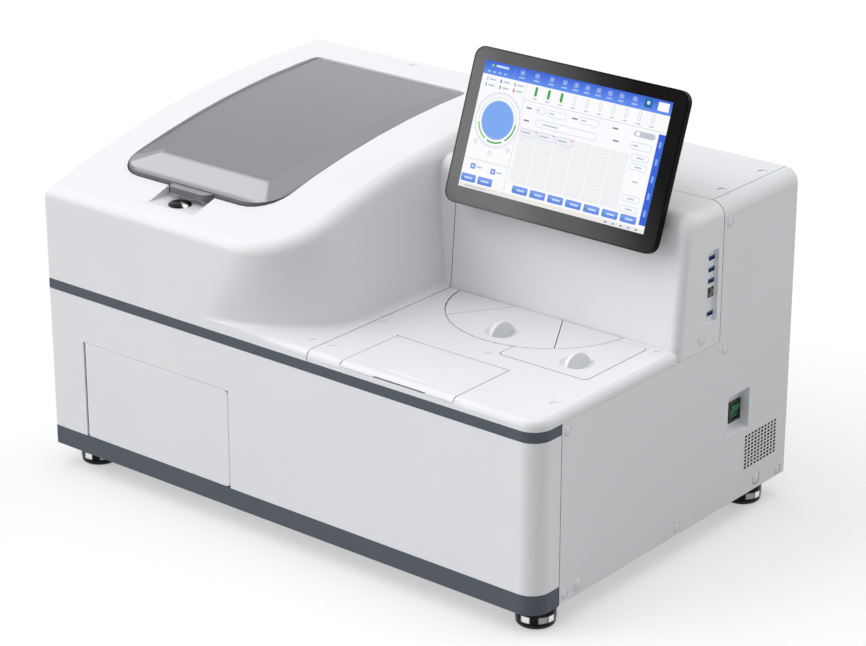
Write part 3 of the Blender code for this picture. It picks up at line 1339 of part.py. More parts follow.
def lid_hinge_rod():
    y, z = lid_axis()
    reach = LID_GAP + SEAT_WALL - TOUCH_GAP
    return finish(rod((y, z), LID_ROD_RADIUS, "x", LID_LEFT - reach, LID_RIGHT + reach, FINE_SEGMENTS),
                  "lid_hinge_rod", "steel")


def latch_button():
    """The chromed button with a domed face; its flange under the pocket floor keeps it in."""
    floor = height(POCKET_FLOOR)
    flange_top = floor - POCKET_WALL - TOUCH_GAP
    flange_low = flange_top - BUTTON_FLANGE_HEIGHT
    stem_low = flange_low - BUTTON_STEM
    edge = floor + BUTTON_EDGE
    profile = [(0, stem_low), (BUTTON_RADIUS / 3, stem_low), (BUTTON_RADIUS / 3, flange_low),
               (BUTTON_RADIUS + BUTTON_FLANGE, flange_low), (BUTTON_RADIUS + BUTTON_FLANGE, flange_top),
               (BUTTON_RADIUS, flange_top), (BUTTON_RADIUS, edge)]
    for turn in (30, 60, 90):
        angle = math.radians(turn)
        profile.append((BUTTON_RADIUS * math.cos(angle),
                        edge + (BUTTON_RISE - BUTTON_EDGE) * math.sin(angle)))
    profile[-1] = (0, floor + BUTTON_RISE)
    y = depth(BUTTON_DEPTH)
    return finish(turned(profile, BUTTON_X, y, TURNED_SEGMENTS), "latch_button", "chrome",
                  (BUTTON_X, y, floor))


def desk_plan(inset, overrun):
    """The desk cover from above; only its front and right edges take the inset."""
    left = DESK_SEAM_X + SEAM_GAP / 2 - overrun
    right = RIGHT - inset
    front = FRONT + inset
    rear = depth(DESK_REAR) + overrun
    corner = RIGHT_CORNER_RADIUS - inset
    return [(left, front)] + arc((right - corner, front + corner), corner, 270, 360, CORNER_STEPS) + [
        (right, rear), (left, rear)]


def desk_solid(wall, overrun, low):
    top = height(DESK_TOP) - wall
    rings = [[(x, y, low) for x, y in desk_plan(wall, overrun)]]
    for step in range(EDGE_ROUND_STEPS + 1):
        angle = math.radians(90 * step / EDGE_ROUND_STEPS)
        inset = wall + DESK_EDGE_ROUND * (1 - math.cos(angle))
        z = top - DESK_EDGE_ROUND * (1 - math.sin(angle))
        rings.append([(x, y, z) for x, y in desk_plan(inset, overrun)])
    return loft(rings)


def disc_region(radius_change, rear):
    """The arc of the disc opening, closed by the straight line at the rear."""
    radius = DISC_COVER_RADIUS + radius_change
    centre = (DISC_X, depth(DISC_DEPTH))
    start = math.degrees(math.asin((centre[1] - rear) / radius))
    return arc(centre, radius, 180 + start, 360 - start, DISC_STEPS)


def side_cover_region(grow, arc_gap):
    """The rectangular opening beside the disc opening, whose corner follows the disc's arc."""
    left = SIDE_COVER_LEFT - grow
    right = SIDE_COVER_RIGHT + grow
    front = depth(SIDE_COVER_FRONT) - grow
    rear = depth(SIDE_COVER_REAR) + grow
    radius = DISC_COVER_RADIUS + arc_gap
    centre = (DISC_X, depth(DISC_DEPTH))
    corner = SIDE_COVER_CORNER
    points = arc((left + corner, front + corner), corner, 180, 270, EDGE_ROUND_STEPS)
    points += arc((right - corner, front + corner), corner, 270, 360, EDGE_ROUND_STEPS)
    points += arc((right - corner, rear - corner), corner, 0, 90, EDGE_ROUND_STEPS)
    start = 360 - math.degrees(math.asin((centre[1] - rear) / radius))
    stop = 270 + math.degrees(math.asin((left - DISC_X) / radius))
    return points + arc(centre, radius, start, stop, DISC_STEPS // 2)


def desk_cover():
    low = height(MID_BAND_TOP) + TOUCH_GAP
    top = height(DESK_TOP)
    rear = depth(DESK_REAR)
    desk = desk_solid(0, 0, low)
    cut(desk, desk_solid(SHELL_WALL, CUT_OVERRUN, low - CUT_OVERRUN))
    ledge_top = top - COVER_THICKNESS
    ledge_low = ledge_top - LEDGE_THICKNESS
    overlap = ledge_top + SHELL_WALL / 3
    unite(desk, prism(disc_region(LEDGE_WIDTH, rear), "z", ledge_low, overlap))
    unite(desk, prism(side_cover_region(LEDGE_WIDTH, 0), "z", ledge_low, overlap))
    flap_low = (FLAP_LEFT - LEDGE_WIDTH, FRONT + SHELL_WALL / 2, ledge_low)
    unite(desk, box(flap_low, (FLAP_RIGHT + LEDGE_WIDTH, depth(FLAP_REAR + LEDGE_WIDTH), overlap)))
    above = top + CUT_OVERRUN
    cut(desk, prism(disc_region(0, rear + CUT_OVERRUN), "z", ledge_top, above))
    cut(desk, prism(side_cover_region(0, -LEDGE_WIDTH), "z", ledge_top, above))
    through = low - CUT_OVERRUN
    cut(desk, prism(disc_region(-LEDGE_WIDTH, rear + CUT_OVERRUN), "z", through, above))
    cut(desk, prism(side_cover_region(-LEDGE_WIDTH, LEDGE_WIDTH), "z", through, above))
    cut(desk, box((FLAP_LEFT, FRONT - CUT_OVERRUN, height(FLAP_LIP) - SEAM_GAP),
                  (FLAP_RIGHT, depth(FLAP_REAR), above)))
    cut(desk, box((FLAP_LEFT + LEDGE_WIDTH, depth(WELL_FRONT), through),
                  (FLAP_RIGHT - LEDGE_WIDTH, depth(FLAP_REAR - LEDGE_WIDTH), above)))
    barrel = 2 * FLAP_BARREL_RADIUS + SEAM_GAP
    cut(desk, box((FLAP_LEFT, depth(FLAP_REAR) - barrel - LEDGE_WIDTH / 2, top - barrel),
                  (FLAP_RIGHT, depth(FLAP_REAR), above)))
    cut(desk, box((FLAP_LEFT, FRONT - CUT_OVERRUN, height(FLAP_LIP) - SEAM_GAP),
                  (FLAP_RIGHT, depth(WELL_FRONT) + CUT_OVERRUN, above)))
    y, z = flap_axis()
    cut(desk, rod((y, z), FLAP_ROD_RADIUS + PIVOT_GAP, "x", FLAP_LEFT - FLAP_ROD_REACH,
                  FLAP_RIGHT + FLAP_ROD_REACH, FINE_SEGMENTS))
    return finish(desk, "desk_cover", "white_shell")


def flap_axis():
    return depth(FLAP_REAR) - SEAM_GAP - FLAP_BARREL_RADIUS, height(DESK_TOP) - FLAP_BARREL_RADIUS


def reagent_flap():
    """The front flap: a plate with a rolled front edge, a finger scoop and a barrel at its rear edge."""
    y, z = flap_axis()
    top = height(DESK_TOP)
    centre = (FRONT + DESK_EDGE_ROUND, top - DESK_EDGE_ROUND)
    lip_angle = 180 - math.degrees(math.asin((height(FLAP_LIP) - centre[1]) / DESK_EDGE_ROUND))
    outline = arc(centre, DESK_EDGE_ROUND, lip_angle, 90, CORNER_STEPS)
    outline += arc((y, z), FLAP_BARREL_RADIUS, 90, -150, 2 * CORNER_STEPS)
    outline.append((y - 2 * FLAP_BARREL_RADIUS, top - FLAP_THICKNESS))
    outline += arc(centre, DESK_EDGE_ROUND - FLAP_THICKNESS, 90, lip_angle, CORNER_STEPS)
    flap = prism(outline, "x", FLAP_LEFT + SEAM_GAP, FLAP_RIGHT - SEAM_GAP)
    cut(flap, rod((y, z), FLAP_ROD_RADIUS + PIVOT_GAP, "x", FLAP_LEFT - CUT_OVERRUN, FLAP_RIGHT + CUT_OVERRUN,
                  FINE_SEGMENTS))
    cut(flap, box((SCOOP_LEFT, FRONT - CUT_OVERRUN, height(FLAP_LIP) - CUT_OVERRUN),
                  (SCOOP_RIGHT, FRONT + FLAP_THICKNESS + CUT_OVERRUN, height(FLAP_LIP) + SCOOP_RISE)))
    return finish(flap, "reagent_flap", "white_shell", ((FLAP_LEFT + FLAP_RIGHT) / 2, y, z))


def flap_hinge_rod():
    y, z = flap_axis()
    reach = FLAP_ROD_REACH - TOUCH_GAP
    return finish(rod((y, z), FLAP_ROD_RADIUS, "x", FLAP_LEFT - reach, FLAP_RIGHT + reach, FINE_SEGMENTS),
                  "flap_hinge_rod", "steel")


def flap_well():
    """The open box under the flap, hung by its flange under the desk's ledge."""
    top = height(DESK_TOP) - COVER_THICKNESS - LEDGE_THICKNESS - TOUCH_GAP
    left = FLAP_LEFT + LEDGE_WIDTH
    right = FLAP_RIGHT - LEDGE_WIDTH
    front = depth(WELL_FRONT)
    rear = depth(FLAP_REAR - LEDGE_WIDTH) - SEAM_GAP
    floor = height(WELL_FLOOR)
    well = box((left, front, floor), (right, rear, top))
    flange = LEDGE_WIDTH - SEAM_GAP
    unite(well, box((left - flange, front + SHELL_WALL, top - WELL_FLANGE),
                    (right + flange, rear - WELL_MARGIN, top)))
    cut(well, box((left + WELL_WALL, front + WELL_WALL, floor + WELL_WALL),
                  (right - WELL_WALL, rear - WELL_WALL, top + CUT_OVERRUN)))
    return finish(well, "flap_well", "white_shell")


def add_grip(cover, x, y):
    """A dish in the cover with a fin across it to pull by."""
    top = height(DESK_TOP)
    sphere = (GRIP_DISH_RADIUS ** 2 + GRIP_DISH_DEPTH ** 2) / (2 * GRIP_DISH_DEPTH)
    centre_z = top + sphere - GRIP_DISH_DEPTH
    half = math.degrees(math.asin(GRIP_DISH_RADIUS / sphere))
    steps = 4
    bowl = []
    for step in range(steps + 1):
        angle = math.radians(half * step / steps)
        bowl.append((sphere * math.sin(angle), centre_z - sphere * math.cos(angle)))
    outer_low = top - GRIP_DISH_DEPTH - GRIP_DISH_WALL
    boss = [(0, outer_low), (GRIP_DISH_RADIUS * 2 / 3, outer_low),
            (GRIP_DISH_RADIUS + GRIP_DISH_WALL, top - COVER_THICKNESS),
            (GRIP_DISH_RADIUS + GRIP_DISH_WALL, top - COVER_THICKNESS / 2), (0, top - COVER_THICKNESS / 2)]
    unite(cover, turned(boss, x, y, TURNED_SEGMENTS))
    dish = bowl + [(GRIP_DISH_RADIUS, top + CUT_OVERRUN), (0, top + CUT_OVERRUN)]
    cut(cover, turned(dish, x, y, TURNED_SEGMENTS))
    middle_z = top + GRIP_FIN_RISE - GRIP_FIN_RADIUS
    low_z = top - GRIP_DISH_DEPTH - GRIP_DISH_WALL / 2
    below = math.degrees(math.asin((middle_z - low_z) / (GRIP_FIN_RADIUS + GRIP_DISH_WALL)))
    rings = []
    for offset, shrink in ((-1, 1), (-0.62, 0), (0.62, 0), (1, 1)):
        radius = GRIP_FIN_RADIUS - shrink * GRIP_FIN_THICKNESS / 3
        outline = arc((0, middle_z), radius, -below, 180 + below, 12)
        rings.append([(offset * GRIP_FIN_THICKNESS / 2, a, b) for a, b in outline])
    turn = Matrix.Translation((x, y, 0)) @ Matrix.Rotation(math.radians(GRIP_FIN_TURN_DEG), 4, "Z")
    return unite(cover, moved(loft(rings), turn))


def cover_plate(outline):
    top = height(DESK_TOP)
    return prism(outline, "z", top - COVER_THICKNESS + TOUCH_GAP, top)


def disc_sector(start_deg, stop_deg, rear_points):
    """One piece of the disc cover: part of the arc and the corners on the straight rear line."""
    radius = DISC_COVER_RADIUS - SEAM_GAP
    steps = max(3, round(DISC_STEPS * (stop_deg - start_deg) / 180))
    return arc((DISC_X, depth(DISC_DEPTH)), radius, start_deg, stop_deg, steps) + rear_points


def disc_covers():
    rear = depth(DESK_REAR)
    radius = DISC_COVER_RADIUS - SEAM_GAP
    lean = math.degrees(math.asin((DISC_DEPTH - DESK_REAR) / radius))
    gap = SEAM_GAP / 2
    gap_deg = math.degrees(gap / radius)
    left = disc_sector(180 + lean, SECTOR_LEFT_DEG - gap_deg, [(SECTOR_LEFT_REAR_X - gap, rear)])
    middle = disc_sector(SECTOR_LEFT_DEG + gap_deg, SECTOR_RIGHT_DEG - gap_deg,
                         [(SECTOR_RIGHT_REAR_X - gap, rear), (SECTOR_LEFT_REAR_X + gap, rear)])
    right = disc_sector(SECTOR_RIGHT_DEG + gap_deg, 360 - lean, [(SECTOR_RIGHT_REAR_X + gap, rear)])
    finish(cover_plate(left), "disc_cover_left", "white_shell")
    finish(cover_plate(right), "disc_cover_right", "white_shell")
    y = depth(GRIP_DEPTH)
    finish(add_grip(cover_plate(middle), GRIP_X, y), "disc_cover_middle", "white_shell",
           (GRIP_X, y, height(DESK_TOP)))


def side_cover():
    cover = cover_plate(side_cover_region(-SEAM_GAP, 0))
    y = depth(SIDE_GRIP_DEPTH)
    return finish(add_grip(cover, SIDE_GRIP_X, y), "side_cover", "white_shell",
                  (SIDE_GRIP_X, y, height(DESK_TOP)))


def socket_box(width, rise, z, clearance, x_low, x_high):
    y = depth(SOCKET_DEPTH)
    return box((x_low, y - width / 2 - clearance, z - rise / 2 - clearance),
               (x_high, y + width / 2 + clearance, z + rise / 2 + clearance))


def tower_front_cover():
    """The tower's front shell with the recess for the sockets."""
    low = height(MID_BAND_TOP) + TOUCH_GAP
    left = DESK_SEAM_X + SEAM_GAP / 2
    rear = depth(TOWER_SEAM) - SEAM_GAP / 2
    tower = tower_solid(left, RIGHT, 0, TOWER_SIDE_ROUND, 0, rear, low)
    cut(tower, tower_solid(left - CUT_OVERRUN, RIGHT - SHELL_WALL, 0, TOWER_SIDE_ROUND - SHELL_WALL,
                           SHELL_WALL, rear + CUT_OVERRUN, low - CUT_OVERRUN))
    floor = RIGHT - SOCKET_RECESS_DEPTH
    front = depth(SOCKET_RECESS_FRONT)
    back = depth(SOCKET_RECESS_REAR)
    bottom = height(SOCKET_RECESS_LOW)
    top = height(SOCKET_RECESS_TOP)
    block = SHELL_WALL * 2 / 3
    unite(tower, box((floor - block, front - block, bottom - block),
                     (RIGHT - block, back + block, top + block)))
    cut(tower, box((floor, front, bottom), (RIGHT + CUT_OVERRUN, back, top)))
    for drop in USB_DROPS:
        cut(tower, socket_box(USB_WIDTH, USB_RISE, top - drop, TOUCH_GAP,
                              floor - CUT_OVERRUN, floor + CUT_OVERRUN))
    cut(tower, socket_box(NETWORK_WIDTH, NETWORK_RISE, height(NETWORK_HEIGHT), TOUCH_GAP, floor - CUT_OVERRUN,
                          floor + CUT_OVERRUN))
    return finish(tower, "tower_front_cover", "white_shell")


def tower_top_cover():
    """The sheet cover over the tower, with the tower's rear wall."""
    low = height(MID_BAND_TOP) + TOUCH_GAP
    left = DESK_SEAM_X + SEAM_GAP / 2
    right = RIGHT - TOWER_SIDE_ROUND - SEAM_GAP
    front = depth(TOWER_SEAM) + SEAM_GAP / 2
    top = height(TOWER_TOP)
    cover = box((left, front, top - SHEET_WALL), (right, BACK - SHEET_WALL / 2, top))
    clear = SHEET_WALL + TOUCH_GAP
    centre = (RIGHT - TOWER_SIDE_ROUND, top - TOWER_SIDE_ROUND)
    outline = [(left, low), (RIGHT - clear, low)]
    outline += [point for point in arc(centre, TOWER_SIDE_ROUND - clear, 0, 90, TOWER_ROUND_STEPS)]
    outline += [(right, top - clear), (right, top), (left, top)]
    return finish(unite(cover, prism(outline, "y", BACK - SHEET_WALL, BACK)), "tower_top_cover",
                  "white_sheet")


def usb_ports():
    floor = RIGHT - SOCKET_RECESS_DEPTH
    for index, drop in enumerate(USB_DROPS):
        z = height(SOCKET_RECESS_TOP - drop)
        port = socket_box(USB_WIDTH, USB_RISE, z, 0, floor - USB_LENGTH, floor)
        cut(port, socket_box(USB_WIDTH, USB_RISE, z, -USB_WALL, floor - USB_LENGTH + USB_WALL,
                             floor + CUT_OVERRUN))
        tongue_z = z + USB_RISE / 2 - USB_WALL - USB_TONGUE_RISE
        unite(port, socket_box(USB_TONGUE_WIDTH, USB_TONGUE_RISE, tongue_z, 0,
                               floor - USB_LENGTH + USB_WALL / 2, floor - USB_TONGUE_SHORT))
        finish(port, "usb_port_%d" % (index + 1), "steel")


def network_port():
    floor = RIGHT - SOCKET_RECESS_DEPTH
    z = height(NETWORK_HEIGHT)
    back = floor - NETWORK_LENGTH
    port = socket_box(NETWORK_WIDTH, NETWORK_RISE, z, 0, back, floor)
    cut(port, socket_box(NETWORK_WIDTH, NETWORK_RISE - 2 * NETWORK_KEY_RISE, z, -NETWORK_WALL,
                         back + NETWORK_WALL, floor + CUT_OVERRUN))
    cut(port, socket_box(NETWORK_KEY_WIDTH, NETWORK_RISE, z, -NETWORK_WALL, back + NETWORK_WALL,
                         floor + CUT_OVERRUN))
    return finish(port, "network_port", "black_plastic")


def display_frame_matrix():
    """Takes the display's own frame (across, up the face, out of the face) into the scene."""
    tilt = Matrix.Rotation(math.radians(90 - DISPLAY_TILT_DEG), 4, "X")
    return Matrix.Translation((DISPLAY_X, depth(DISPLAY_DEPTH), height(DISPLAY_HEIGHT))) @ tilt


def hinge_axis():
    """Y and Z of the display's tilt axis."""
    point = display_frame_matrix() @ Vector((0, -HINGE_BELOW_CENTRE, -HINGE_BEHIND_FACE))
    return point.y, point.z


def display_ring(inset, out):
    """A rounded rectangle of the display, inset from its edge and out of its face."""
    half_width = DISPLAY_WIDTH / 2 - inset
    half_rise = DISPLAY_RISE / 2 - inset
    corners = [(-half_width, -half_rise), (half_width, -half_rise), (half_width, half_rise),
               (-half_width, half_rise)]
    radii = [DISPLAY_CORNER - inset] * 4
    return [(x, y, out) for x, y in rounded_outline(corners, radii, DISPLAY_CORNER_STEPS, (1, 1, 1, 1))]


def hinge_lug(x):
    """A lug on the display's back that reaches the tilt axis."""
    centre = (-HINGE_BELOW_CENTRE, -HINGE_BEHIND_FACE)
    half = HINGE_LUG_WIDTH / 2
    outline = arc(centre, HINGE_BARREL_RADIUS, 180, 360, 10)
    root = -DISPLAY_THICKNESS - BULGE_THICKNESS / 2
    outline += [(centre[0] + HINGE_BARREL_RADIUS, root), (centre[0] - HINGE_BARREL_RADIUS, root)]
    return prism(outline, "x", x - half, x + half)


def display_housing():
    back = -DISPLAY_THICKNESS
    sink = DISPLAY_GLASS_THICKNESS + TOUCH_GAP
    housing = loft([display_ring(DISPLAY_LIP, -sink), display_ring(DISPLAY_LIP, -DISPLAY_LIP_CHAMFER / 2),
                    display_ring(DISPLAY_LIP / 3, 0), display_ring(0, -DISPLAY_LIP_CHAMFER),
                    display_ring(0, back + DISPLAY_BACK_CHAMFER), display_ring(DISPLAY_BACK_CHAMFER, back)])
    slope = BULGE_SLOPE
    wide = [(-BULGE_HALF_WIDTH, BULGE_BOTTOM), (BULGE_HALF_WIDTH, BULGE_BOTTOM),
            (BULGE_HALF_WIDTH, BULGE_TOP), (-BULGE_HALF_WIDTH, BULGE_TOP)]
    narrow = [(x - math.copysign(slope, x), y - math.copysign(slope, y)) for x, y in wide]
    unite(housing, loft([[(x, y, back + DISPLAY_BACK_CHAMFER) for x, y in wide],
                         [(x, y, back - BULGE_THICKNESS) for x, y in narrow]]))
    for x in (-HINGE_LUG_SPREAD, HINGE_LUG_SPREAD):
        unite(housing, hinge_lug(x))
    reach = HINGE_LUG_SPREAD + HINGE_LUG_WIDTH
    cut(housing, rod((-HINGE_BELOW_CENTRE, -HINGE_BEHIND_FACE), HINGE_PIN_RADIUS + PIVOT_GAP, "x",
                     -reach, reach, FINE_SEGMENTS))
    y, z = hinge_axis()
    return finish(moved(housing, display_frame_matrix()), "display_housing", "black_plastic",
                  (DISPLAY_X, y, z))


def display_glass():
    inset = DISPLAY_LIP + TOUCH_GAP
    glass = loft([display_ring(inset, -DISPLAY_GLASS_THICKNESS), display_ring(inset, -DISPLAY_LIP_CHAMFER)])
    y, z = hinge_axis()
    return finish(moved(glass, display_frame_matrix()), "display_glass", "screen_glass", (DISPLAY_X, y, z))


def display_hinge_base():
    """The foot on the tower's top with the middle knuckle of the tilt hinge."""
    y, z = hinge_axis()
    low = height(TOWER_TOP) + TOUCH_GAP
    half = HINGE_LUG_SPREAD - HINGE_LUG_WIDTH / 2 - HINGE_BLOCK_SIDE_GAP
    base = box((DISPLAY_X - HINGE_BASE_WIDTH / 2, depth(HINGE_BASE_FRONT), low),
               (DISPLAY_X + HINGE_BASE_WIDTH / 2, depth(HINGE_BASE_REAR), low + HINGE_BASE_THICKNESS))
    outline = arc((y, z), HINGE_BARREL_RADIUS, 0, 180, 10)
    outline += [(y - HINGE_BARREL_RADIUS, low + HINGE_BASE_THICKNESS / 2),
                (y + 2 * HINGE_BARREL_RADIUS, low + HINGE_BASE_THICKNESS / 2)]
    unite(base, prism(outline, "x", DISPLAY_X - half, DISPLAY_X + half))
    cut(base, rod((y, z), HINGE_PIN_RADIUS + PIVOT_GAP, "x", DISPLAY_X - 2 * half, DISPLAY_X + 2 * half,
                  FINE_SEGMENTS))
    return finish(base, "display_hinge_base", "black_plastic")


def display_tilt_pin():
    y, z = hinge_axis()
    reach = HINGE_LUG_SPREAD + HINGE_LUG_WIDTH / 2
    return finish(rod((y, z), HINGE_PIN_RADIUS, "x", DISPLAY_X - reach, DISPLAY_X + reach, FINE_SEGMENTS),
                  "display_tilt_pin", "steel")


def switch_body():
    y = depth(SWITCH_DEPTH)
    z = height(SWITCH_HEIGHT)
    floor = RIGHT - SWITCH_RECESS_DEPTH
    seat = floor + TOUCH_GAP
    front = seat + SWITCH_FLANGE
    body = box((seat, y - SWITCH_WIDTH / 2, z - SWITCH_LENGTH / 2),
               (front, y + SWITCH_WIDTH / 2, z + SWITCH_LENGTH / 2))
    half_width = SWITCH_WIDTH / 2 - SWITCH_BORDER
    half_length = SWITCH_LENGTH / 2 - SWITCH_BORDER
    back = floor - SWITCH_BODY_LENGTH
    unite(body, box((back, y - half_width, z - half_length),
                    (seat + SWITCH_FLANGE / 2, y + half_width, z + half_length)))
    well_width = SWITCH_WIDTH / 2 - ROCKER_RIM - SWITCH_BORDER / 2
    well_length = SWITCH_LENGTH / 2 - ROCKER_RIM - SWITCH_BORDER / 2
    cut(body, box((back + SWITCH_FLANGE, y - well_width, z - well_length),
                  (front + CUT_OVERRUN, y + well_width, z + well_length)))
    return finish(body, "switch_body", "black_plastic")


def rocker_axis():
    return RIGHT - SWITCH_RECESS_DEPTH - ROCKER_SINK, height(SWITCH_HEIGHT)


def switch_rocker():
    """The rocker: two faces that meet in a shallow valley and ends round the axis, upper end out."""
    x, z = rocker_axis()
    y = depth(SWITCH_DEPTH)
    half_width = SWITCH_WIDTH / 2 - ROCKER_RIM - SWITCH_BORDER / 2 - PIVOT_GAP
    radius = SWITCH_LENGTH / 2 - ROCKER_RIM - SWITCH_BORDER / 2 - PIVOT_GAP
    first = ROCKER_EDGE_DEG - ROCKER_TILT_DEG
    last = ROCKER_BACK_DEG - ROCKER_TILT_DEG
    swing = 2 * ROCKER_TILT_DEG
    valley = math.radians(ROCKER_TILT_DEG)
    outline = arc((x, z), radius, first, last, ROCKER_STEPS)
    outline += arc((x, z), radius, 360 - last - swing, 360 - first - swing, ROCKER_STEPS)
    outline.append((x + ROCKER_VALLEY * math.cos(valley), z - ROCKER_VALLEY * math.sin(valley)))
    return finish(prism(outline, "y", y - half_width, y + half_width), "switch_rocker", "switch_green",
                  (x, y, z))


def mains_inlet():
    z = height(INLET_HEIGHT)
    half_width = INLET_WIDTH / 2
    half_rise = INLET_RISE / 2
    inside = BACK - SHEET_WALL - INLET_LENGTH
    behind = BACK - SHEET_WALL - TOUCH_GAP
    inlet = box((INLET_X - half_width, inside, z - half_rise), (INLET_X + half_width, BACK, z + half_rise))
    border = INLET_FLANGE_BORDER
    unite(inlet, box((INLET_X - half_width - border, behind - INLET_FLANGE, z - half_rise - border),
                     (INLET_X + half_width + border, behind, z + half_rise + border)))
    wall = INLET_WALL
    cut(inlet, box((INLET_X - half_width + wall, inside + wall, z - half_rise + wall),
                   (INLET_X + half_width - wall, BACK + CUT_OVERRUN, z + half_rise - wall)))
    for offset in (-1, 0, 1):
        x = INLET_X + offset * INLET_PIN_PITCH
        unite(inlet, box((x - INLET_PIN_WIDTH / 2, inside + wall / 2, z - INLET_PIN_RISE / 2),
                         (x + INLET_PIN_WIDTH / 2, inside + INLET_PIN_LENGTH, z + INLET_PIN_RISE / 2)))
    return finish(inlet, "mains_inlet", "black_plastic")


def fan_frame():
    """A square fan frame behind the rear panel, with the hub and its spokes on the inner side."""
    rear = BACK - SHEET_WALL - TOUCH_GAP
    front = rear - FAN_THICKNESS
    z = height(FAN_HEIGHT)
    half = FAN_SIZE / 2
    frame = box((FAN_X - half, front, z - half), (FAN_X + half, rear, z + half))
    cut(frame, rod((FAN_X, z), FAN_BORE_RADIUS, "y", front - CUT_OVERRUN, rear + CUT_OVERRUN,
                   TURNED_SEGMENTS))
    spoke = FAN_SPOKE_WIDTH / 2
    thick = front + FAN_SPOKE_THICKNESS
    unite(frame, box((FAN_X - half + spoke, front, z - spoke), (FAN_X + half - spoke, thick, z + spoke)))
    unite(frame, box((FAN_X - spoke, front, z - half + spoke), (FAN_X + spoke, thick, z + half - spoke)))
    unite(frame, rod((FAN_X, z), FAN_HUB_RADIUS, "y", front, thick, TURNED_SEGMENTS))
    unite(frame, rod((FAN_X, z), FAN_AXLE_RADIUS, "y", front, rear - FAN_SPOKE_THICKNESS, FINE_SEGMENTS))
    return finish(frame, "fan_frame", "black_plastic")


def fan_rotor():
    rear = BACK - SHEET_WALL - TOUCH_GAP - FAN_SPOKE_THICKNESS / 2
    front = BACK - SHEET_WALL - FAN_THICKNESS + FAN_SPOKE_THICKNESS
    z = height(FAN_HEIGHT)
    middle = (front + rear) / 2
    rotor = rod((FAN_X, z), FAN_HUB_RADIUS, "y", front, rear, TURNED_SEGMENTS)
    length = FAN_BORE_RADIUS - FAN_BLADE_TIP_GAP
    chord = (rear - front) / 2
    for blade in range(FAN_BLADES):
        plate = box((-FAN_BLADE_THICKNESS / 2, -chord, FAN_HUB_RADIUS * 2 / 3),
                    (FAN_BLADE_THICKNESS / 2, chord, length))
        pitch = Matrix.Rotation(math.radians(FAN_BLADE_PITCH_DEG), 4, "Z")
        turn = Matrix.Rotation(2 * math.pi * blade / FAN_BLADES, 4, "Y")
        unite(rotor, moved(plate, Matrix.Translation((FAN_X, middle, z)) @ turn @ pitch))
    cut(rotor, rod((FAN_X, z), FAN_AXLE_RADIUS + PIVOT_GAP, "y", front - CUT_OVERRUN, rear + CUT_OVERRUN,
                   FINE_SEGMENTS))
    return finish(rotor, "fan_rotor", "black_plastic", (FAN_X, middle, z))


def bottles():
    """Wash and waste bottle side by side behind the front door."""
    floor = height(SHEET_WALL) + TOUCH_GAP
    middle = (DOOR_LEFT + DOOR_RIGHT) / 2
    front = depth(BOTTLE_FRONT)
    for name, side in (("wash_bottle", -1), ("waste_bottle", 1)):
        x = middle + side * (BOTTLE_WIDTH + BOTTLE_SPACING) / 2
        half = BOTTLE_WIDTH / 2
        corners = [(x - half, front), (x + half, front), (x + half, front + BOTTLE_DEPTH),
                   (x - half, front + BOTTLE_DEPTH)]
        outline = rounded_outline(corners, [BOTTLE_CORNER] * 4, 3, (1, 1, 1, 1))
        top = floor + BOTTLE_RISE
        bottle = bevelled(prism(outline, "z", floor, top), BOTTLE_CORNER / 3, 1)
        neck_y = front + BOTTLE_DEPTH / 4
        neck_top = top + BOTTLE_NECK_RISE
        unite(bottle, rod((x, neck_y), BOTTLE_NECK_RADIUS, "z", top - BOTTLE_NECK_RISE,
                          neck_top + CUT_OVERRUN, TURNED_SEGMENTS))
        unite(bottle, rod((x, neck_y), BOTTLE_CAP_RADIUS, "z", neck_top, neck_top + BOTTLE_CAP_RISE,
                          TURNED_SEGMENTS))
        finish(bottle, name, "clear_bottle")


def power_supply():
    floor = height(SHEET_WALL) + TOUCH_GAP
    left = SUPPLY_X - SUPPLY_WIDTH / 2
    right = SUPPLY_X + SUPPLY_WIDTH / 2
    front = depth(SUPPLY_FRONT)
    supply = box((left, front, floor), (right, depth(SUPPLY_REAR), floor + SUPPLY_RISE))
    unite(supply, box((left + SUPPLY_TERMINAL_RISE, front - SUPPLY_TERMINAL_DEPTH, floor),
                      (right - SUPPLY_TERMINAL_RISE, front + SUPPLY_TERMINAL_DEPTH / 2,
                       floor + SUPPLY_TERMINAL_RISE)))
    return finish(supply, "power_supply", "zinc_sheet")


def main_board():
    """The controller board on posts over the base pan."""
    floor = height(SHEET_WALL) + TOUCH_GAP
    low = floor + BOARD_STANDOFF
    left = BOARD_LEFT
    right = BOARD_RIGHT
    middle = (left + right) / 2
    front = depth(BOARD_FRONT)
    rear = depth(BOARD_REAR)
    top = low + BOARD_THICKNESS
    board = box((left, front, low), (right, rear, top))
    edge = 2 * BOARD_POST_RADIUS
    for x in (left + edge, right - edge):
        for y in (front + edge, rear - edge):
            unite(board, rod((x, y), BOARD_POST_RADIUS, "z", floor, low + BOARD_THICKNESS / 2, FINE_SEGMENTS))
    base = low + BOARD_THICKNESS / 2
    unite(board, box((middle - BOARD_CHIP / 2, front + BOARD_CHIP, base),
                     (middle + BOARD_CHIP / 2, front + 2 * BOARD_CHIP, top + BOARD_CHIP_RISE)))
    unite(board, box((left + BOARD_CHIP, rear - BOARD_CHIP, base),
                     (right - BOARD_CHIP, rear - BOARD_CHIP / 2, top + BOARD_SOCKET_RISE)))
    return finish(board, "main_board", "board_green")


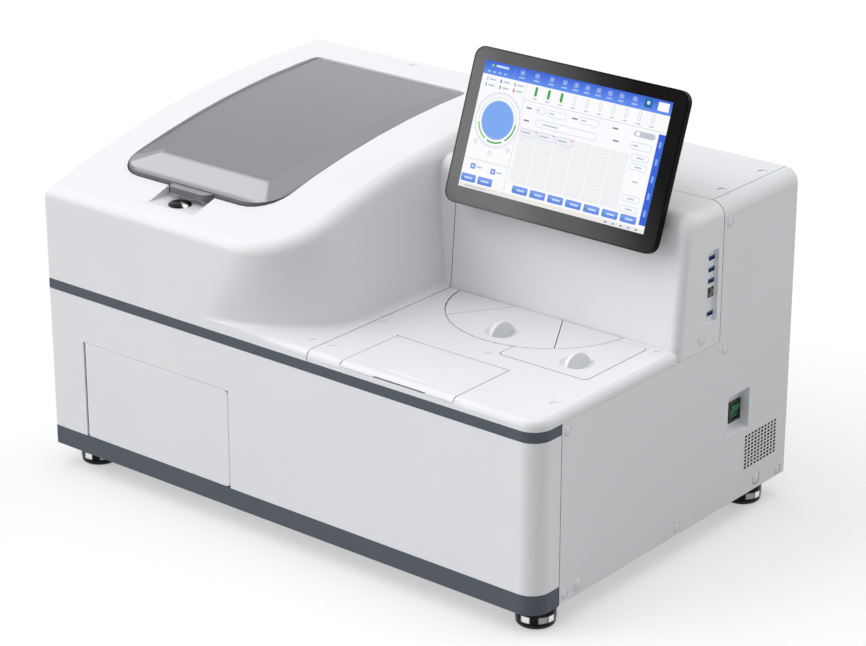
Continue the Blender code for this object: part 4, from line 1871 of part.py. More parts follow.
def rotor_disc(name, x, y, radius, low, thickness, wells, well_radius, circle):
    """A disc with a hub and a ring of wells, cut round its own middle and then put in its place.

    The wells start half a facet round, so that no well's corner lies on a line between two facets.
    """
    top = low + thickness
    hub_low = low - DISC_HUB_DROP
    profile = [(0, hub_low), (DISC_HUB_RADIUS, hub_low), (DISC_HUB_RADIUS, low), (radius, low),
               (radius, top), (0, top)]
    segments = 2 * TURNED_SEGMENTS
    disc = turned(profile, 0, 0, segments)
    floor = low + thickness / 4
    for well in range(wells):
        angle = 2 * math.pi * well / wells + math.pi / segments
        centre = (circle * math.cos(angle), circle * math.sin(angle))
        cut(disc, rod(centre, well_radius, "z", floor, top + CUT_OVERRUN, FINE_SEGMENTS))
    bore = SHAFT_RADIUS + PIVOT_GAP
    cut(disc, rod((0, 0), bore, "z", hub_low - CUT_OVERRUN, top - thickness / 3, FINE_SEGMENTS))
    return finish(moved(disc, Matrix.Translation((x, y, 0))), name, "aluminium", (x, y, low))


def disc_motor(name, x, y, disc_low, disc_thickness):
    """A square motor hung under the deck; its pilot fills the deck's hole and its shaft carries the disc."""
    top = height(DECK_HEIGHT) - TOUCH_GAP
    half = MOTOR_SIZE / 2
    motor = box((x - half, y - half, top - MOTOR_LENGTH), (x + half, y + half, top))
    pilot_top = deck_top() + SHAFT_STANDOUT
    unite(motor, rod((x, y), MOTOR_PILOT_RADIUS, "z", top - MOTOR_LENGTH / 2, pilot_top, TURNED_SEGMENTS))
    end = disc_low + disc_thickness * 2 / 3 - TOUCH_GAP
    unite(motor, rod((x, y), SHAFT_RADIUS, "z", top, end, FINE_SEGMENTS))
    return finish(motor, name, "steel")


def discs_and_motors():
    rotor_disc("reaction_disc", REACTION_X, depth(REACTION_DEPTH), REACTION_RADIUS, height(REACTION_LOW),
               REACTION_THICKNESS, REACTION_WELLS, REACTION_WELL_RADIUS, REACTION_WELL_CIRCLE)
    disc_motor("reaction_motor", REACTION_X, depth(REACTION_DEPTH), height(REACTION_LOW), REACTION_THICKNESS)
    rotor_disc("reagent_disc", DISC_X, depth(DISC_DEPTH), REAGENT_RADIUS, height(REAGENT_LOW),
               REAGENT_THICKNESS, REAGENT_WELLS, REAGENT_WELL_RADIUS, REAGENT_WELL_CIRCLE)
    disc_motor("reagent_motor", DISC_X, depth(DISC_DEPTH), height(REAGENT_LOW), REAGENT_THICKNESS)


def measuring_head():
    """The light-tight head that counts the light of each cuvette, with its detector tube."""
    floor = deck_top() + TOUCH_GAP
    rear = depth(METER_FRONT + METER_LENGTH)
    head = box((METER_LEFT, depth(METER_FRONT), floor), (METER_LEFT + METER_WIDTH, rear, floor + METER_RISE))
    centre = (METER_LEFT + METER_WIDTH / 2, floor + METER_RISE / 2)
    unite(head, rod(centre, METER_TUBE_RADIUS, "y", rear - METER_TUBE_LENGTH / 2, rear + METER_TUBE_LENGTH,
                    TURNED_SEGMENTS))
    return finish(head, "measuring_head", "black_plastic")


def pipettor():
    """The column on the deck, the spindle that lifts in it and the arm that swings on the spindle."""
    y = depth(COLUMN_DEPTH)
    floor = deck_top() + TOUCH_GAP
    bore = SPINDLE_RADIUS + PIVOT_GAP
    profile = [(0, floor), (COLUMN_FLANGE_RADIUS, floor), (COLUMN_FLANGE_RADIUS, floor + COLUMN_FLANGE),
               (COLUMN_RADIUS, floor + COLUMN_FLANGE), (COLUMN_RADIUS, height(COLUMN_TOP)),
               (bore, height(COLUMN_TOP)), (bore, height(SPINDLE_START) - TOUCH_GAP),
               (0, height(SPINDLE_START) - TOUCH_GAP)]
    finish(turned(profile, COLUMN_X, y, TURNED_SEGMENTS), "pipettor_column", "aluminium")
    start = height(SPINDLE_START)
    top = height(SPINDLE_TOP)
    pin_top = top + SPINDLE_PIN_RISE
    profile = [(0, start), (SPINDLE_RADIUS, start), (SPINDLE_RADIUS, top), (SPINDLE_PIN_RADIUS, top),
               (SPINDLE_PIN_RADIUS, pin_top), (0, pin_top)]
    finish(turned(profile, COLUMN_X, y, TURNED_SEGMENTS), "pipettor_spindle", "steel", (COLUMN_X, y, start))
    low = top + TOUCH_GAP
    high = low + ARM_THICKNESS
    to_disc = Vector((REACTION_X - COLUMN_X, depth(REACTION_DEPTH) - y))
    arm_length = to_disc.length - REACTION_WELL_CIRCLE + ARM_PAST_WELLS
    outline = arc((0, 0), ARM_BOSS_RADIUS, 70, 290, 12)
    outline += arc((arm_length, 0), ARM_TIP_RADIUS, -90, 90, 6)
    arm = prism(outline, "z", low, high)
    cut(arm, rod((0, 0), SPINDLE_PIN_RADIUS + PIVOT_GAP, "z", low - CUT_OVERRUN, pin_top + TOUCH_GAP,
                 FINE_SEGMENTS))
    unite(arm, rod((arm_length, 0), NEEDLE_RADIUS, "z", low - NEEDLE_LENGTH, low + ARM_THICKNESS / 2, 8))
    turn = Matrix.Rotation(math.atan2(to_disc.y, to_disc.x), 4, "Z")
    finish(moved(arm, Matrix.Translation((COLUMN_X, y, 0)) @ turn), "pipettor_arm", "white_shell",
           (COLUMN_X, y, low))


def main():
    clear_scene()
    base_pan()
    inner_frame()
    base_band()
    front_panel()
    mid_band()
    front_door()
    door_hinge_rod()
    right_side_panel()
    left_side_panel()
    rear_panel()
    hood_cover()
    lid_seat()
    lid_frame()
    lid_panel()
    lid_hinge_rod()
    latch_button()
    desk_cover()
    reagent_flap()
    flap_hinge_rod()
    flap_well()
    disc_covers()
    side_cover()
    tower_front_cover()
    tower_top_cover()
    usb_ports()
    network_port()
    display_housing()
    display_glass()
    display_hinge_base()
    display_tilt_pin()
    switch_body()
    switch_rocker()
    mains_inlet()
    fan_frame()
    fan_rotor()
    bottles()
    power_supply()
    main_board()
    discs_and_motors()
    measuring_head()
    pipettor()
    levelling_feet()
    bpy.context.view_layer.update()


main()
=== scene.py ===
# %% [markdown]
# Looks for a bench-top immunoassay analyzer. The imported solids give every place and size; this file
# adds what the eye sees: soft edges, finishes, screw plugs, the picture on the display, light and a
# camera. It runs from top to bottom, one short cell at a time. All lengths are metres.

# %% Load the frame
import json
import math

import bmesh
import bpy
from mathutils import Matrix, Vector
from mathutils.bvhtree import BVHTree

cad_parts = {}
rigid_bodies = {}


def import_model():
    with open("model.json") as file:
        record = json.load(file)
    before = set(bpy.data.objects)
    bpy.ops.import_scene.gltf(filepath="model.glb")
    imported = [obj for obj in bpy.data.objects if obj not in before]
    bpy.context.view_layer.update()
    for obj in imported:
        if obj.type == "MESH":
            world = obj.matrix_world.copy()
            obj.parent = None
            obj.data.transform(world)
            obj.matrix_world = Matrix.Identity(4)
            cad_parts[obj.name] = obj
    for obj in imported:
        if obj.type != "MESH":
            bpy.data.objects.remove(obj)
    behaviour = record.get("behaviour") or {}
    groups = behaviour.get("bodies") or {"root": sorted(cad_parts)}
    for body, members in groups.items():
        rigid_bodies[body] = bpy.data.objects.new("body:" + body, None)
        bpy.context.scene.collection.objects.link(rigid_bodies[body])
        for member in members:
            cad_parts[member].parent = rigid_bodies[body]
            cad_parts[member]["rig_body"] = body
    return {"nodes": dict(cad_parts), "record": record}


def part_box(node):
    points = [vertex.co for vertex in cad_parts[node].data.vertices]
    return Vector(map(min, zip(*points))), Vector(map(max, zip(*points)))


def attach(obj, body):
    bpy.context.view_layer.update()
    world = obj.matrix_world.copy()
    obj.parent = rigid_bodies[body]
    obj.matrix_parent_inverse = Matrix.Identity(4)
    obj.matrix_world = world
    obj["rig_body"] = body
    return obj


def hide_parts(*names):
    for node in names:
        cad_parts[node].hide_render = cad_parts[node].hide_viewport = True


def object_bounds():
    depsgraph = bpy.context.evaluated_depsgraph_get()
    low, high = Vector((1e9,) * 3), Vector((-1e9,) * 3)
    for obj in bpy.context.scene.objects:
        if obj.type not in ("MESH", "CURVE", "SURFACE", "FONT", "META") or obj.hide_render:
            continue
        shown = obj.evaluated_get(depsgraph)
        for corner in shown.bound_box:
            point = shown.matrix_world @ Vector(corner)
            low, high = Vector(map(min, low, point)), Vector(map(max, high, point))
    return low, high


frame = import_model()
CAD_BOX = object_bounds()
CASE_MIDDLE = (CAD_BOX[0] + CAD_BOX[1]) / 2
NODES = frame["nodes"]

# %% [markdown]
# The camera. A product photograph of this kind is taken from a few metres with a long lens, so that
# the case's edges stay nearly parallel. A camera could also be aimed by a constraint that tracks the
# object. Here its place, direction and lens were solved from the edges of the case, so they are plain
# values.

# %% Camera
CAMERA_PLACE = Vector((2.1595, -2.6065, 1.5797))
CAMERA_LOOK = Vector((-0.58720, 0.71848, -0.37279))
LENS_MM = 117.56
SENSOR_MM = 36.0
SEEN_TO = 60.0


def make_camera():
    data = bpy.data.cameras.new("camera")
    data.lens = LENS_MM
    data.sensor_width = SENSOR_MM
    data.sensor_fit = "HORIZONTAL"
    data.clip_end = SEEN_TO
    camera = bpy.data.objects.new("camera", data)
    camera.location = CAMERA_PLACE
    camera.rotation_mode = "QUATERNION"
    camera.rotation_quaternion = CAMERA_LOOK.to_track_quat("-Z", "Y")
    bpy.context.scene.collection.objects.link(camera)
    bpy.context.scene.camera = camera
    bpy.context.scene.view_settings.view_transform = "Standard"
    return camera


print("camera is", round((make_camera().location - CASE_MIDDLE).length, 2), "m from the case")

# %% [markdown]
# A small language for finishes. Node trees get long when every link is typed out, so a socket is
# wrapped in a class that knows +, -, * and /. An expression such as 1 - mask * 0.4 then adds the
# Math nodes by itself. Any other node comes from one method, Paint.node.


# %% Sockets that can be added and multiplied
class Wire:
    """One output socket of a node tree, as a number that Python's operators understand."""

    def __init__(self, paint, socket):
        self.paint = paint
        self.socket = socket

    def join(self, operation, first, second):
        return self.paint.node("ShaderNodeMath", {"operation": operation}, {0: first, 1: second})

    def __add__(self, other):
        return self.join("ADD", self, other)

    __radd__ = __add__

    def __sub__(self, other):
        return self.join("SUBTRACT", self, other)

    def __rsub__(self, other):
        return self.join("SUBTRACT", other, self)

    def __mul__(self, other):
        return self.join("MULTIPLY", self, other)

    __rmul__ = __mul__

    def __truediv__(self, other):
        return self.join("DIVIDE", self, other)

    def __rtruediv__(self, other):
        return self.join("DIVIDE", other, self)


class Paint:
    """A node tree that is being filled."""

    def __init__(self, tree):
        self.tree = tree

    def node(self, kind, settings=None, inputs=None, output=0):
        item = self.tree.nodes.new(kind)
        for name, value in (settings or {}).items():
            if name == "stops":
                self.set_stops(item.color_ramp, value)
            else:
                setattr(item, name, value)
        for name, value in (inputs or {}).items():
            if isinstance(value, Wire):
                self.tree.links.new(value.socket, item.inputs[name])
            else:
                item.inputs[name].default_value = value
        return Wire(self, item.outputs[output])

    def set_stops(self, ramp, stops):
        while len(ramp.elements) < len(stops):
            ramp.elements.new(0.5)
        for element, (place, colour) in zip(ramp.elements, stops):
            element.position = place
            element.color = colour

    def blend(self, factor, first, second):
        """A colour between two colours."""
        return self.node("ShaderNodeMix", {"data_type": "RGBA"}, {0: factor, 6: first, 7: second}, 2)

    def clamp(self, value):
        """A number kept between 0 and 1."""
        return self.node("ShaderNodeClamp", None, {0: value})

    def axes(self, place):
        """The three parts of a place, as three numbers."""
        split = self.node("ShaderNodeSeparateXYZ", None, {0: place}).socket.node
        return [Wire(self, output) for output in split.outputs]


def tone(red, green, blue):
    """A colour read from the photograph as 0 to 255, in the linear numbers that shaders use."""
    linear = []
    for part in (red, green, blue):
        share = part / 255
        linear.append(share / 12.92 if share <= 0.04045 else ((share + 0.055) / 1.055) ** 2.4)
    return (*linear, 1.0)


print("a mid grey of 128 is", round(tone(128, 128, 128)[0], 3), "in linear numbers")

# %% [markdown]
# The world. Round the real object stands a studio's white tent, which lights it from all sides. An
# image of a studio could do that, but a plain colour is even and needs no file. What the camera, a
# mirror or glass sees of the world is full white, so the picture has a white ground and chrome shows
# white, while the light that the world casts stays at a plain level.

# %% World
AMBIENT = 0.30


def seen_directly(paint):
    """1 for rays from the camera, a mirror or glass, and 0 for light that is cast on something."""
    path = paint.node("ShaderNodeLightPath").socket.node
    seen = Wire(paint, path.outputs["Is Camera Ray"]) + Wire(paint, path.outputs["Is Glossy Ray"])
    seen = seen + Wire(paint, path.outputs["Is Transmission Ray"])
    return paint.node("ShaderNodeMath", {"operation": "MINIMUM"}, {0: seen, 1: 1.0})


def make_world():
    world = bpy.data.worlds.new("studio")
    world.use_nodes = True
    bpy.context.scene.world = world
    paint = Paint(world.node_tree)
    background = world.node_tree.nodes["Background"]
    background.inputs["Color"].default_value = (1, 1, 1, 1)
    strength = AMBIENT + seen_directly(paint) * (1 - AMBIENT)
    world.node_tree.links.new(strength.socket, background.inputs["Strength"])
    return world


print("world is", make_world().name, "with", AMBIENT, "of full light")

# %% [markdown]
# The floor. The object stands on a plain pale sheet that fades into the white ground. It could be a
# curved backdrop, but a flat sheet much wider than the picture looks the same from above. It glows a
# little for the camera only, so that it is nearly white and still keeps the object's shadow.

# %% Floor
FLOOR_SIZE = 24.0
FLOOR_SEEN = 0.55
FLOOR_CAST = 0.50
FLOOR_GLOW = 0.42
FLOOR_ROUGHNESS = 0.9


def link(material, socket_name, wire):
    shader = material.node_tree.nodes["Principled BSDF"]
    material.node_tree.links.new(wire.socket, shader.inputs[socket_name])


def plain_material(name, colour, roughness, **constants):
    """A Principled material; constants are its other sockets, with _ for a space in their names."""
    material = bpy.data.materials.new(name)
    material.use_nodes = True
    shader = material.node_tree.nodes["Principled BSDF"]
    shader.inputs["Base Color"].default_value = colour
    shader.inputs["Roughness"].default_value = roughness
    for key, value in constants.items():
        shader.inputs[key.replace("_", " ")].default_value = value
    return material, Paint(material.node_tree)


def grey(level):
    return (level, level, level, 1)


def make_floor():
    half = FLOOR_SIZE / 2
    corners = [(-half, -half, 0), (half, -half, 0), (half, half, 0), (-half, half, 0)]
    mesh = bpy.data.meshes.new("floor")
    mesh.from_pydata(corners, [], [(0, 1, 2, 3)])
    floor = bpy.data.objects.new("floor", mesh)
    bpy.context.scene.collection.objects.link(floor)
    material, paint = plain_material("floor", grey(FLOOR_CAST), FLOOR_ROUGHNESS, Specular_IOR_Level=0.0,
                                     Emission_Strength=1.0)
    seen = seen_directly(paint)
    link(material, "Base Color", paint.blend(seen, grey(FLOOR_CAST), grey(FLOOR_SEEN)))
    link(material, "Emission Color", paint.blend(seen, grey(0), grey(FLOOR_GLOW)))
    mesh.materials.append(material)


make_floor()
print("floor is", FLOOR_SIZE, "m wide")

# %% [markdown]
# The lamps. A studio lights such a case from above and from both sides with soft boxes. Area lamps
# could stand for them, but their light falls off across the object. A sun with a wide angle gives the
# same soft light everywhere, and its shadow has the soft edge of a lamp as wide as the tent.

# %% Lamps, each with its direction, strength and width in degrees
LAMPS = {
    "tent_top": ((0.05, 0.15, -1.0), 0.43, 75),
    "soft_box_left": ((0.70, 0.57, -0.42), 0.61, 60),
    "soft_box_right": ((-0.45, -0.78, -0.42), 0.30, 60),
}
for name, (towards, strength, spread_deg) in LAMPS.items():
    data = bpy.data.lights.new(name, "SUN")
    data.energy = strength * math.pi
    data.angle = math.radians(spread_deg)
    lamp = bpy.data.objects.new(name, data)
    lamp.rotation_mode = "QUATERNION"
    lamp.rotation_quaternion = Vector(towards).to_track_quat("-Z", "Y")
    bpy.context.scene.collection.objects.link(lamp)
print(len(LAMPS), "lamps")

# %% [markdown]
# Plastic, paint and rubber. The covers are moulded plastic and painted sheet, both off-white. A real
# moulding is never one flat colour: it has a fine spark-eroded grain, slightly duller and shinier
# places, and a faint drift in tone. Scanned textures could show that, but noise needs no files and
# has a real size. One recipe makes the three, and reads the Object coordinates, so that the pattern
# stays on the piece when it moves.


# %% One recipe for most finishes
def place_on_piece(paint):
    """Object coordinates, in metres because every piece's object sits at the origin."""
    return paint.node("ShaderNodeTexCoord", None, None, 3)


def noise(paint, where, per_metre, detail=2.0):
    """Soft cloudy values from 0 to 1, with this many clouds in a metre."""
    inputs = {"Vector": where, "Scale": per_metre, "Detail": detail}
    return paint.node("ShaderNodeTexNoise", {"noise_dimensions": "3D"}, inputs)


def shaded(colour, factor):
    return (*[min(part * factor, 1.0) for part in colour[:3]], 1.0)


CLOUDS_PER_METRE = 7.0
SMEARS_PER_METRE = 45.0


def finish(name, colour, roughness, spread, grains_per_metre, grain_height, drift, gloss):
    material, paint = plain_material(name, colour, roughness, Specular_IOR_Level=gloss)
    where = place_on_piece(paint)
    cloud = noise(paint, where, CLOUDS_PER_METRE)
    link(material, "Base Color", paint.blend(cloud, shaded(colour, 1 - drift), shaded(colour, 1 + drift)))
    smear = noise(paint, where, SMEARS_PER_METRE, detail=4.0)
    link(material, "Roughness", roughness + (smear - 0.5) * spread)
    grain = noise(paint, where, grains_per_metre, detail=3.0)
    bump = {"Height": grain, "Distance": grain_height, "Strength": 1.0}
    link(material, "Normal", paint.node("ShaderNodeBump", None, bump))
    return material


# Colour, roughness and its spread, grains in a metre and their height, drift in tone, gloss
MOULDED = {
    "white_shell": ((0.795, 0.806, 0.828, 1), 0.42, 0.06, 900.0, 0.000010, 0.02, 0.35),
    "white_sheet": ((0.765, 0.780, 0.803, 1), 0.46, 0.06, 420.0, 0.000022, 0.02, 0.35),
    "band_grey": (tone(77, 84, 93), 0.50, 0.06, 1100.0, 0.000015, 0.04, 0.30),
    "black_plastic": ((0.012, 0.012, 0.014, 1), 0.38, 0.06, 1300.0, 0.000012, 0.10, 0.35),
    "rubber": ((0.008, 0.008, 0.009, 1), 0.78, 0.06, 1500.0, 0.000040, 0.20, 0.50),
    # Painted shade on the latch pocket's floor, and a painted highlight inside the network socket
    "white_painted_shade_and_highlight": ((0.70, 0.71, 0.73, 1), 0.38, 0.06, 900.0, 0.000008, 0.02, 0.50),
    # Painted shade, near black, for the walls in the gaps between covers and in the vent's holes
    "seam_painted_shade": ((0.06, 0.06, 0.063, 1), 0.60, 0.06, 900.0, 0.000010, 0.05, 0.50),
    "display_black": ((0.002, 0.002, 0.0025, 1), 0.25, 0.06, 1300.0, 0.000006, 0.10, 0.03),
    "clear_bottle": ((0.70, 0.74, 0.76, 1), 0.34, 0.06, 160.0, 0.000060, 0.05, 0.50),
    # Painted shade: darker smoke for the lid frame's upright rim and its left slope
    "smoke_rim_painted_shade": (tone(104, 104, 110), 0.34, 0.06, 500.0, 0.000006, 0.02, 0.30),
    "smoke_left_slope_painted_shade": (tone(114, 114, 121), 0.34, 0.06, 500.0, 0.000006, 0.02, 0.30),
    "smoke_panel": (tone(126, 124, 132), 0.26, 0.02, 430.0, 0.000002, 0.02, 0.50),
    "switch_green": ((0.004, 0.150, 0.022, 1), 0.20, 0.06, 600.0, 0.000008, 0.08, 0.50),
    # Painted shade: darker green for the rocker's lower face
    "switch_painted_shade": ((0.004, 0.067, 0.033, 1), 0.20, 0.06, 600.0, 0.000008, 0.08, 0.35),
    "socket_blue": (tone(28, 112, 190), 0.30, 0.06, 900.0, 0.000010, 0.02, 0.50),
}
FINISHES = {name: finish(name, *values) for name, values in MOULDED.items()}
print(len(FINISHES), "finishes of plastic, paint and rubber")

# %% [markdown]
# Chrome. The feet and the latch button are plated, nearly mirrors, with a faint haze of handling. A
# true mirror would need a whole studio to reflect. The tent here is plain, so the reflections are
# painted: the dark and pale stripes that a round plated piece shows are painted on it by the angle
# round its middle, and elsewhere it is painted dark.

# %% Chrome, with painted reflections
DARK_REFLECTION = (0.012, 0.012, 0.014, 1)
GREY_REFLECTION = (0.30, 0.30, 0.31, 1)
PALE_REFLECTION = (0.90, 0.90, 0.92, 1)
# The stops are painted reflections: dark, grey and pale bands, as shares of a turn round the middle.
DRUM_REFLECTION_STOPS = [(0.00, DARK_REFLECTION), (0.225, DARK_REFLECTION), (0.240, PALE_REFLECTION), (0.298, PALE_REFLECTION),
              (0.308, DARK_REFLECTION), (0.370, DARK_REFLECTION), (0.380, GREY_REFLECTION), (0.445, GREY_REFLECTION),
              (0.452, DARK_REFLECTION), (0.464, PALE_REFLECTION), (0.510, PALE_REFLECTION), (0.525, DARK_REFLECTION)]
BUTTON_REFLECTION_STOPS = [(0.00, DARK_REFLECTION), (0.40, DARK_REFLECTION), (0.44, PALE_REFLECTION), (0.50, PALE_REFLECTION),
                (0.53, DARK_REFLECTION), (0.70, GREY_REFLECTION), (0.85, DARK_REFLECTION)]
OVER_ALL = 1.0
DRUM_BRIGHT_LOW = 0.0078
DRUM_BRIGHT_HIGH = 0.0172
BRIGHT_SOFT = 0.0015


def chrome(name, node, stops, bright_low, bright_high):
    """Plating with painted reflections: stripes round the middle of a node between two heights, dark
    elsewhere.
    """
    material, paint = plain_material(name, DARK_REFLECTION, 0.12, Metallic=1.0)
    low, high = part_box(node)
    middle = (low + high) / 2
    middle.z = 0
    where = place_on_piece(paint)
    local = paint.node("ShaderNodeVectorMath", {"operation": "SUBTRACT"}, {0: where, 1: middle})
    turn = paint.node("ShaderNodeTexGradient", {"gradient_type": "RADIAL"}, {"Vector": local}, 1)
    stripes = paint.node("ShaderNodeValToRGB", {"stops": stops}, {0: turn})
    height = paint.axes(where)[2]
    raised = paint.clamp((height - bright_low) / BRIGHT_SOFT)
    below = paint.clamp((bright_high - height) / BRIGHT_SOFT)
    link(material, "Base Color", paint.blend(raised * below, DARK_REFLECTION, stripes))
    link(material, "Roughness", 0.08 + noise(paint, where, 300.0) * 0.05)
    return material


print(len(DRUM_REFLECTION_STOPS), "stops round a foot,", len(BUTTON_REFLECTION_STOPS), "round the latch button")

# %% [markdown]
# Other metals. Turned and sheet steel show the direction in which they were worked. An anisotropic
# shader could bend their shine, but at this size noise that is stretched along one axis shows the
# lines too. Zinc-plated sheet has the leafy spangle of its crystals, from a cell pattern.

# %% Brushed and plated metal
LINE_DEPTH = 0.00001


def brushed(name, colour, roughness, stretch):
    """Metal with fine lines along the axis whose stretch is small."""
    material, paint = plain_material(name, colour, roughness, Metallic=1.0)
    where = paint.node("ShaderNodeMapping", None, {"Vector": place_on_piece(paint), "Scale": stretch})
    lines = noise(paint, where, 1.0, detail=5.0)
    link(material, "Base Color", paint.blend(lines, shaded(colour, 0.92), shaded(colour, 1.06)))
    link(material, "Roughness", roughness + (lines - 0.5) * 0.16)
    bump = {"Height": lines, "Distance": LINE_DEPTH, "Strength": 1.0}
    link(material, "Normal", paint.node("ShaderNodeBump", None, bump))
    return material


def spangled():
    colour = (0.45, 0.46, 0.47, 1)
    material, paint = plain_material("zinc_sheet", colour, 0.42, Metallic=0.9)
    where = place_on_piece(paint)
    cells = paint.node("ShaderNodeTexVoronoi", {"feature": "F1"}, {"Vector": where, "Scale": 120.0}, 1)
    leaf = paint.node("ShaderNodeSeparateColor", None, {0: cells})
    link(material, "Base Color", paint.blend(leaf, shaded(colour, 0.86), shaded(colour, 1.12)))
    link(material, "Roughness", 0.36 + leaf * 0.14)
    return material


FINISHES["steel"] = brushed("steel", (0.52, 0.53, 0.55, 1), 0.32, (1500.0, 1500.0, 60.0))
FINISHES["aluminium"] = brushed("aluminium", (0.68, 0.69, 0.71, 1), 0.34, (40.0, 1200.0, 1200.0))
FINISHES["supply_case"] = FINISHES["aluminium"]
FINISHES["zinc_sheet"] = spangled()
print("metals:", FINISHES["steel"].name, FINISHES["aluminium"].name, FINISHES["zinc_sheet"].name)

# %% [markdown]
# The display's front glass. On the real object it is black paint behind glass, which reflects the pale
# lower left of the room and the dark upper right. The room isn't modelled, so that reflection is
# painted: a ramp over the glass, lighter towards the lower left, gives the drift of the tone.

# %% Display glass with its painted reflection, as shares of the way and levels of grey
BEZEL_REFLECTION_SHARES = ((0.0, 119), (0.25, 114), (0.36, 96), (0.48, 89), (0.60, 70), (0.70, 40), (0.82, 6))
ACROSS_SHARE = 0.72


def glass_with_painted_reflection():
    """Black paint behind glass, with a painted reflection that is lighter towards the lower left."""
    stops = [(share, tone(level, level, level + 1)) for share, level in BEZEL_REFLECTION_SHARES]
    material, paint = plain_material("screen_glass", stops[-1][1], 0.12, Specular_IOR_Level=0.03)
    low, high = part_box("display_glass")
    x, _, z = paint.axes(place_on_piece(paint))
    across = (x - low.x) / (high.x - low.x)
    up = (z - low.z) / (high.z - low.z)
    fall = across * ACROSS_SHARE + up * (1 - ACROSS_SHARE)
    link(material, "Base Color", paint.node("ShaderNodeValToRGB", {"stops": stops}, {0: fall}))
    link(material, "Roughness", 0.10 + noise(paint, place_on_piece(paint), 30.0) * 0.05)
    return material


FINISHES["screen_glass"] = glass_with_painted_reflection()
print("glass falls off over", len(BEZEL_REFLECTION_SHARES), "levels")

# %% [markdown]
# The lid's frame. It is tinted plastic whose sloping front catches the light, up to the two mitre
# lines where it meets the side slopes; that light is a painted highlight, a paler colour on the front
# slope. The faces could be painted one by one, but the real edge between the tones is soft. So the
# distance to each mitre is worked out in the shader and clamped.

# %% Lid frame, with a painted highlight on its front slope
LID_SIDE_SLOPE = 0.0375
LID_FRONT_SLOPE = 0.0490
LID_TAB_REACH = 0.0128
LID_LIP_SHARE = 0.04
MITRE_SHARPNESS = 8.0


def lid_frame_with_painted_highlight():
    """Tinted plastic with a painted highlight: its sloping front face is paler than the rest, up to its two
    mitre lines.
    """
    material, paint = plain_material("smoke_frame", tone(140, 140, 146), 0.30)
    low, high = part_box("lid_frame")
    x, y, _ = paint.axes(place_on_piece(paint))
    left = (x - low.x) / LID_SIDE_SLOPE
    right = (high.x - x) / LID_SIDE_SLOPE
    back = (y - low.y - LID_TAB_REACH) / LID_FRONT_SLOPE
    side = paint.node("ShaderNodeMath", {"operation": "MINIMUM"}, {0: left, 1: right})
    inside = paint.clamp((side - back) * MITRE_SHARPNESS)
    before = paint.clamp((1.0 - back) * MITRE_SHARPNESS)
    after = paint.clamp((back - LID_LIP_SHARE) * MITRE_SHARPNESS)
    cloud = noise(paint, place_on_piece(paint), 9.0)
    plain = paint.blend(cloud, tone(132, 132, 138), tone(140, 140, 146))
    # Painted highlight: the front slope, inside its mitre lines, is paler.
    link(material, "Base Color", paint.blend(inside * before * after, plain, tone(190, 190, 197)))
    link(material, "Roughness", 0.27 + cloud * 0.06)
    return material


FINISHES["smoke_frame"] = lid_frame_with_painted_highlight()
print("front slope of the lid is", LID_FRONT_SLOPE, "m long")

# %% [markdown]
# The main board. A real one is green varnish over copper tracks. Tracks could be drawn one by one, but
# the board stands behind the covers, so a brick pattern with narrow joints is enough.

# %% Circuit board
BOARD_GREEN = (0.016, 0.13, 0.05, 1)
TRACK_GREEN = (0.10, 0.26, 0.10, 1)


def circuit_board():
    material, paint = plain_material("board_green", BOARD_GREEN, 0.40)
    where = place_on_piece(paint)
    bricks = {"Vector": where, "Scale": 160.0, "Mortar Size": 0.03, "Brick Width": 0.9, "Row Height": 0.22,
              "Color1": BOARD_GREEN, "Color2": shaded(BOARD_GREEN, 0.8), "Mortar": TRACK_GREEN}
    link(material, "Base Color", paint.node("ShaderNodeTexBrick", None, bricks))
    link(material, "Roughness", 0.36 + noise(paint, where, 80.0) * 0.1)
    return material


FINISHES["board_green"] = circuit_board()
print(len(FINISHES), "finishes in all")

# %% [markdown]
# Which piece has which finish. Each solid could be painted by hand, but the record already names a
# finish for it, so a loop is enough. Only chrome depends on the piece, because its painted reflection
# stripes go round that piece's own middle.

# %% Finish of each solid
SLOT_OF = {part["node"]: part["material_slot"] for part in frame["record"]["subparts"]}
FINISH_OF = {}
for name, solid in NODES.items():
    if SLOT_OF[name] != "chrome":
        FINISH_OF[name] = FINISHES[SLOT_OF[name]]
    elif name == "latch_button":
        FINISH_OF[name] = chrome("chrome_button", name, BUTTON_REFLECTION_STOPS, 0.0, OVER_ALL)
    else:
        FINISH_OF[name] = chrome("chrome_" + name, name, DRUM_REFLECTION_STOPS, DRUM_BRIGHT_LOW, DRUM_BRIGHT_HIGH)
    solid.data.materials.clear()
    solid.data.materials.append(FINISH_OF[name])
print(len(SLOT_OF), "solids painted")

# %% [markdown]
# Where the screw plugs sit. On the real object each plug hides a screw that holds a cover. Their
# places were read from the photograph, and those at the rear are guessed. A height could be typed for
# each, but a ray from above finds it, and the slope of the cover there, by itself.

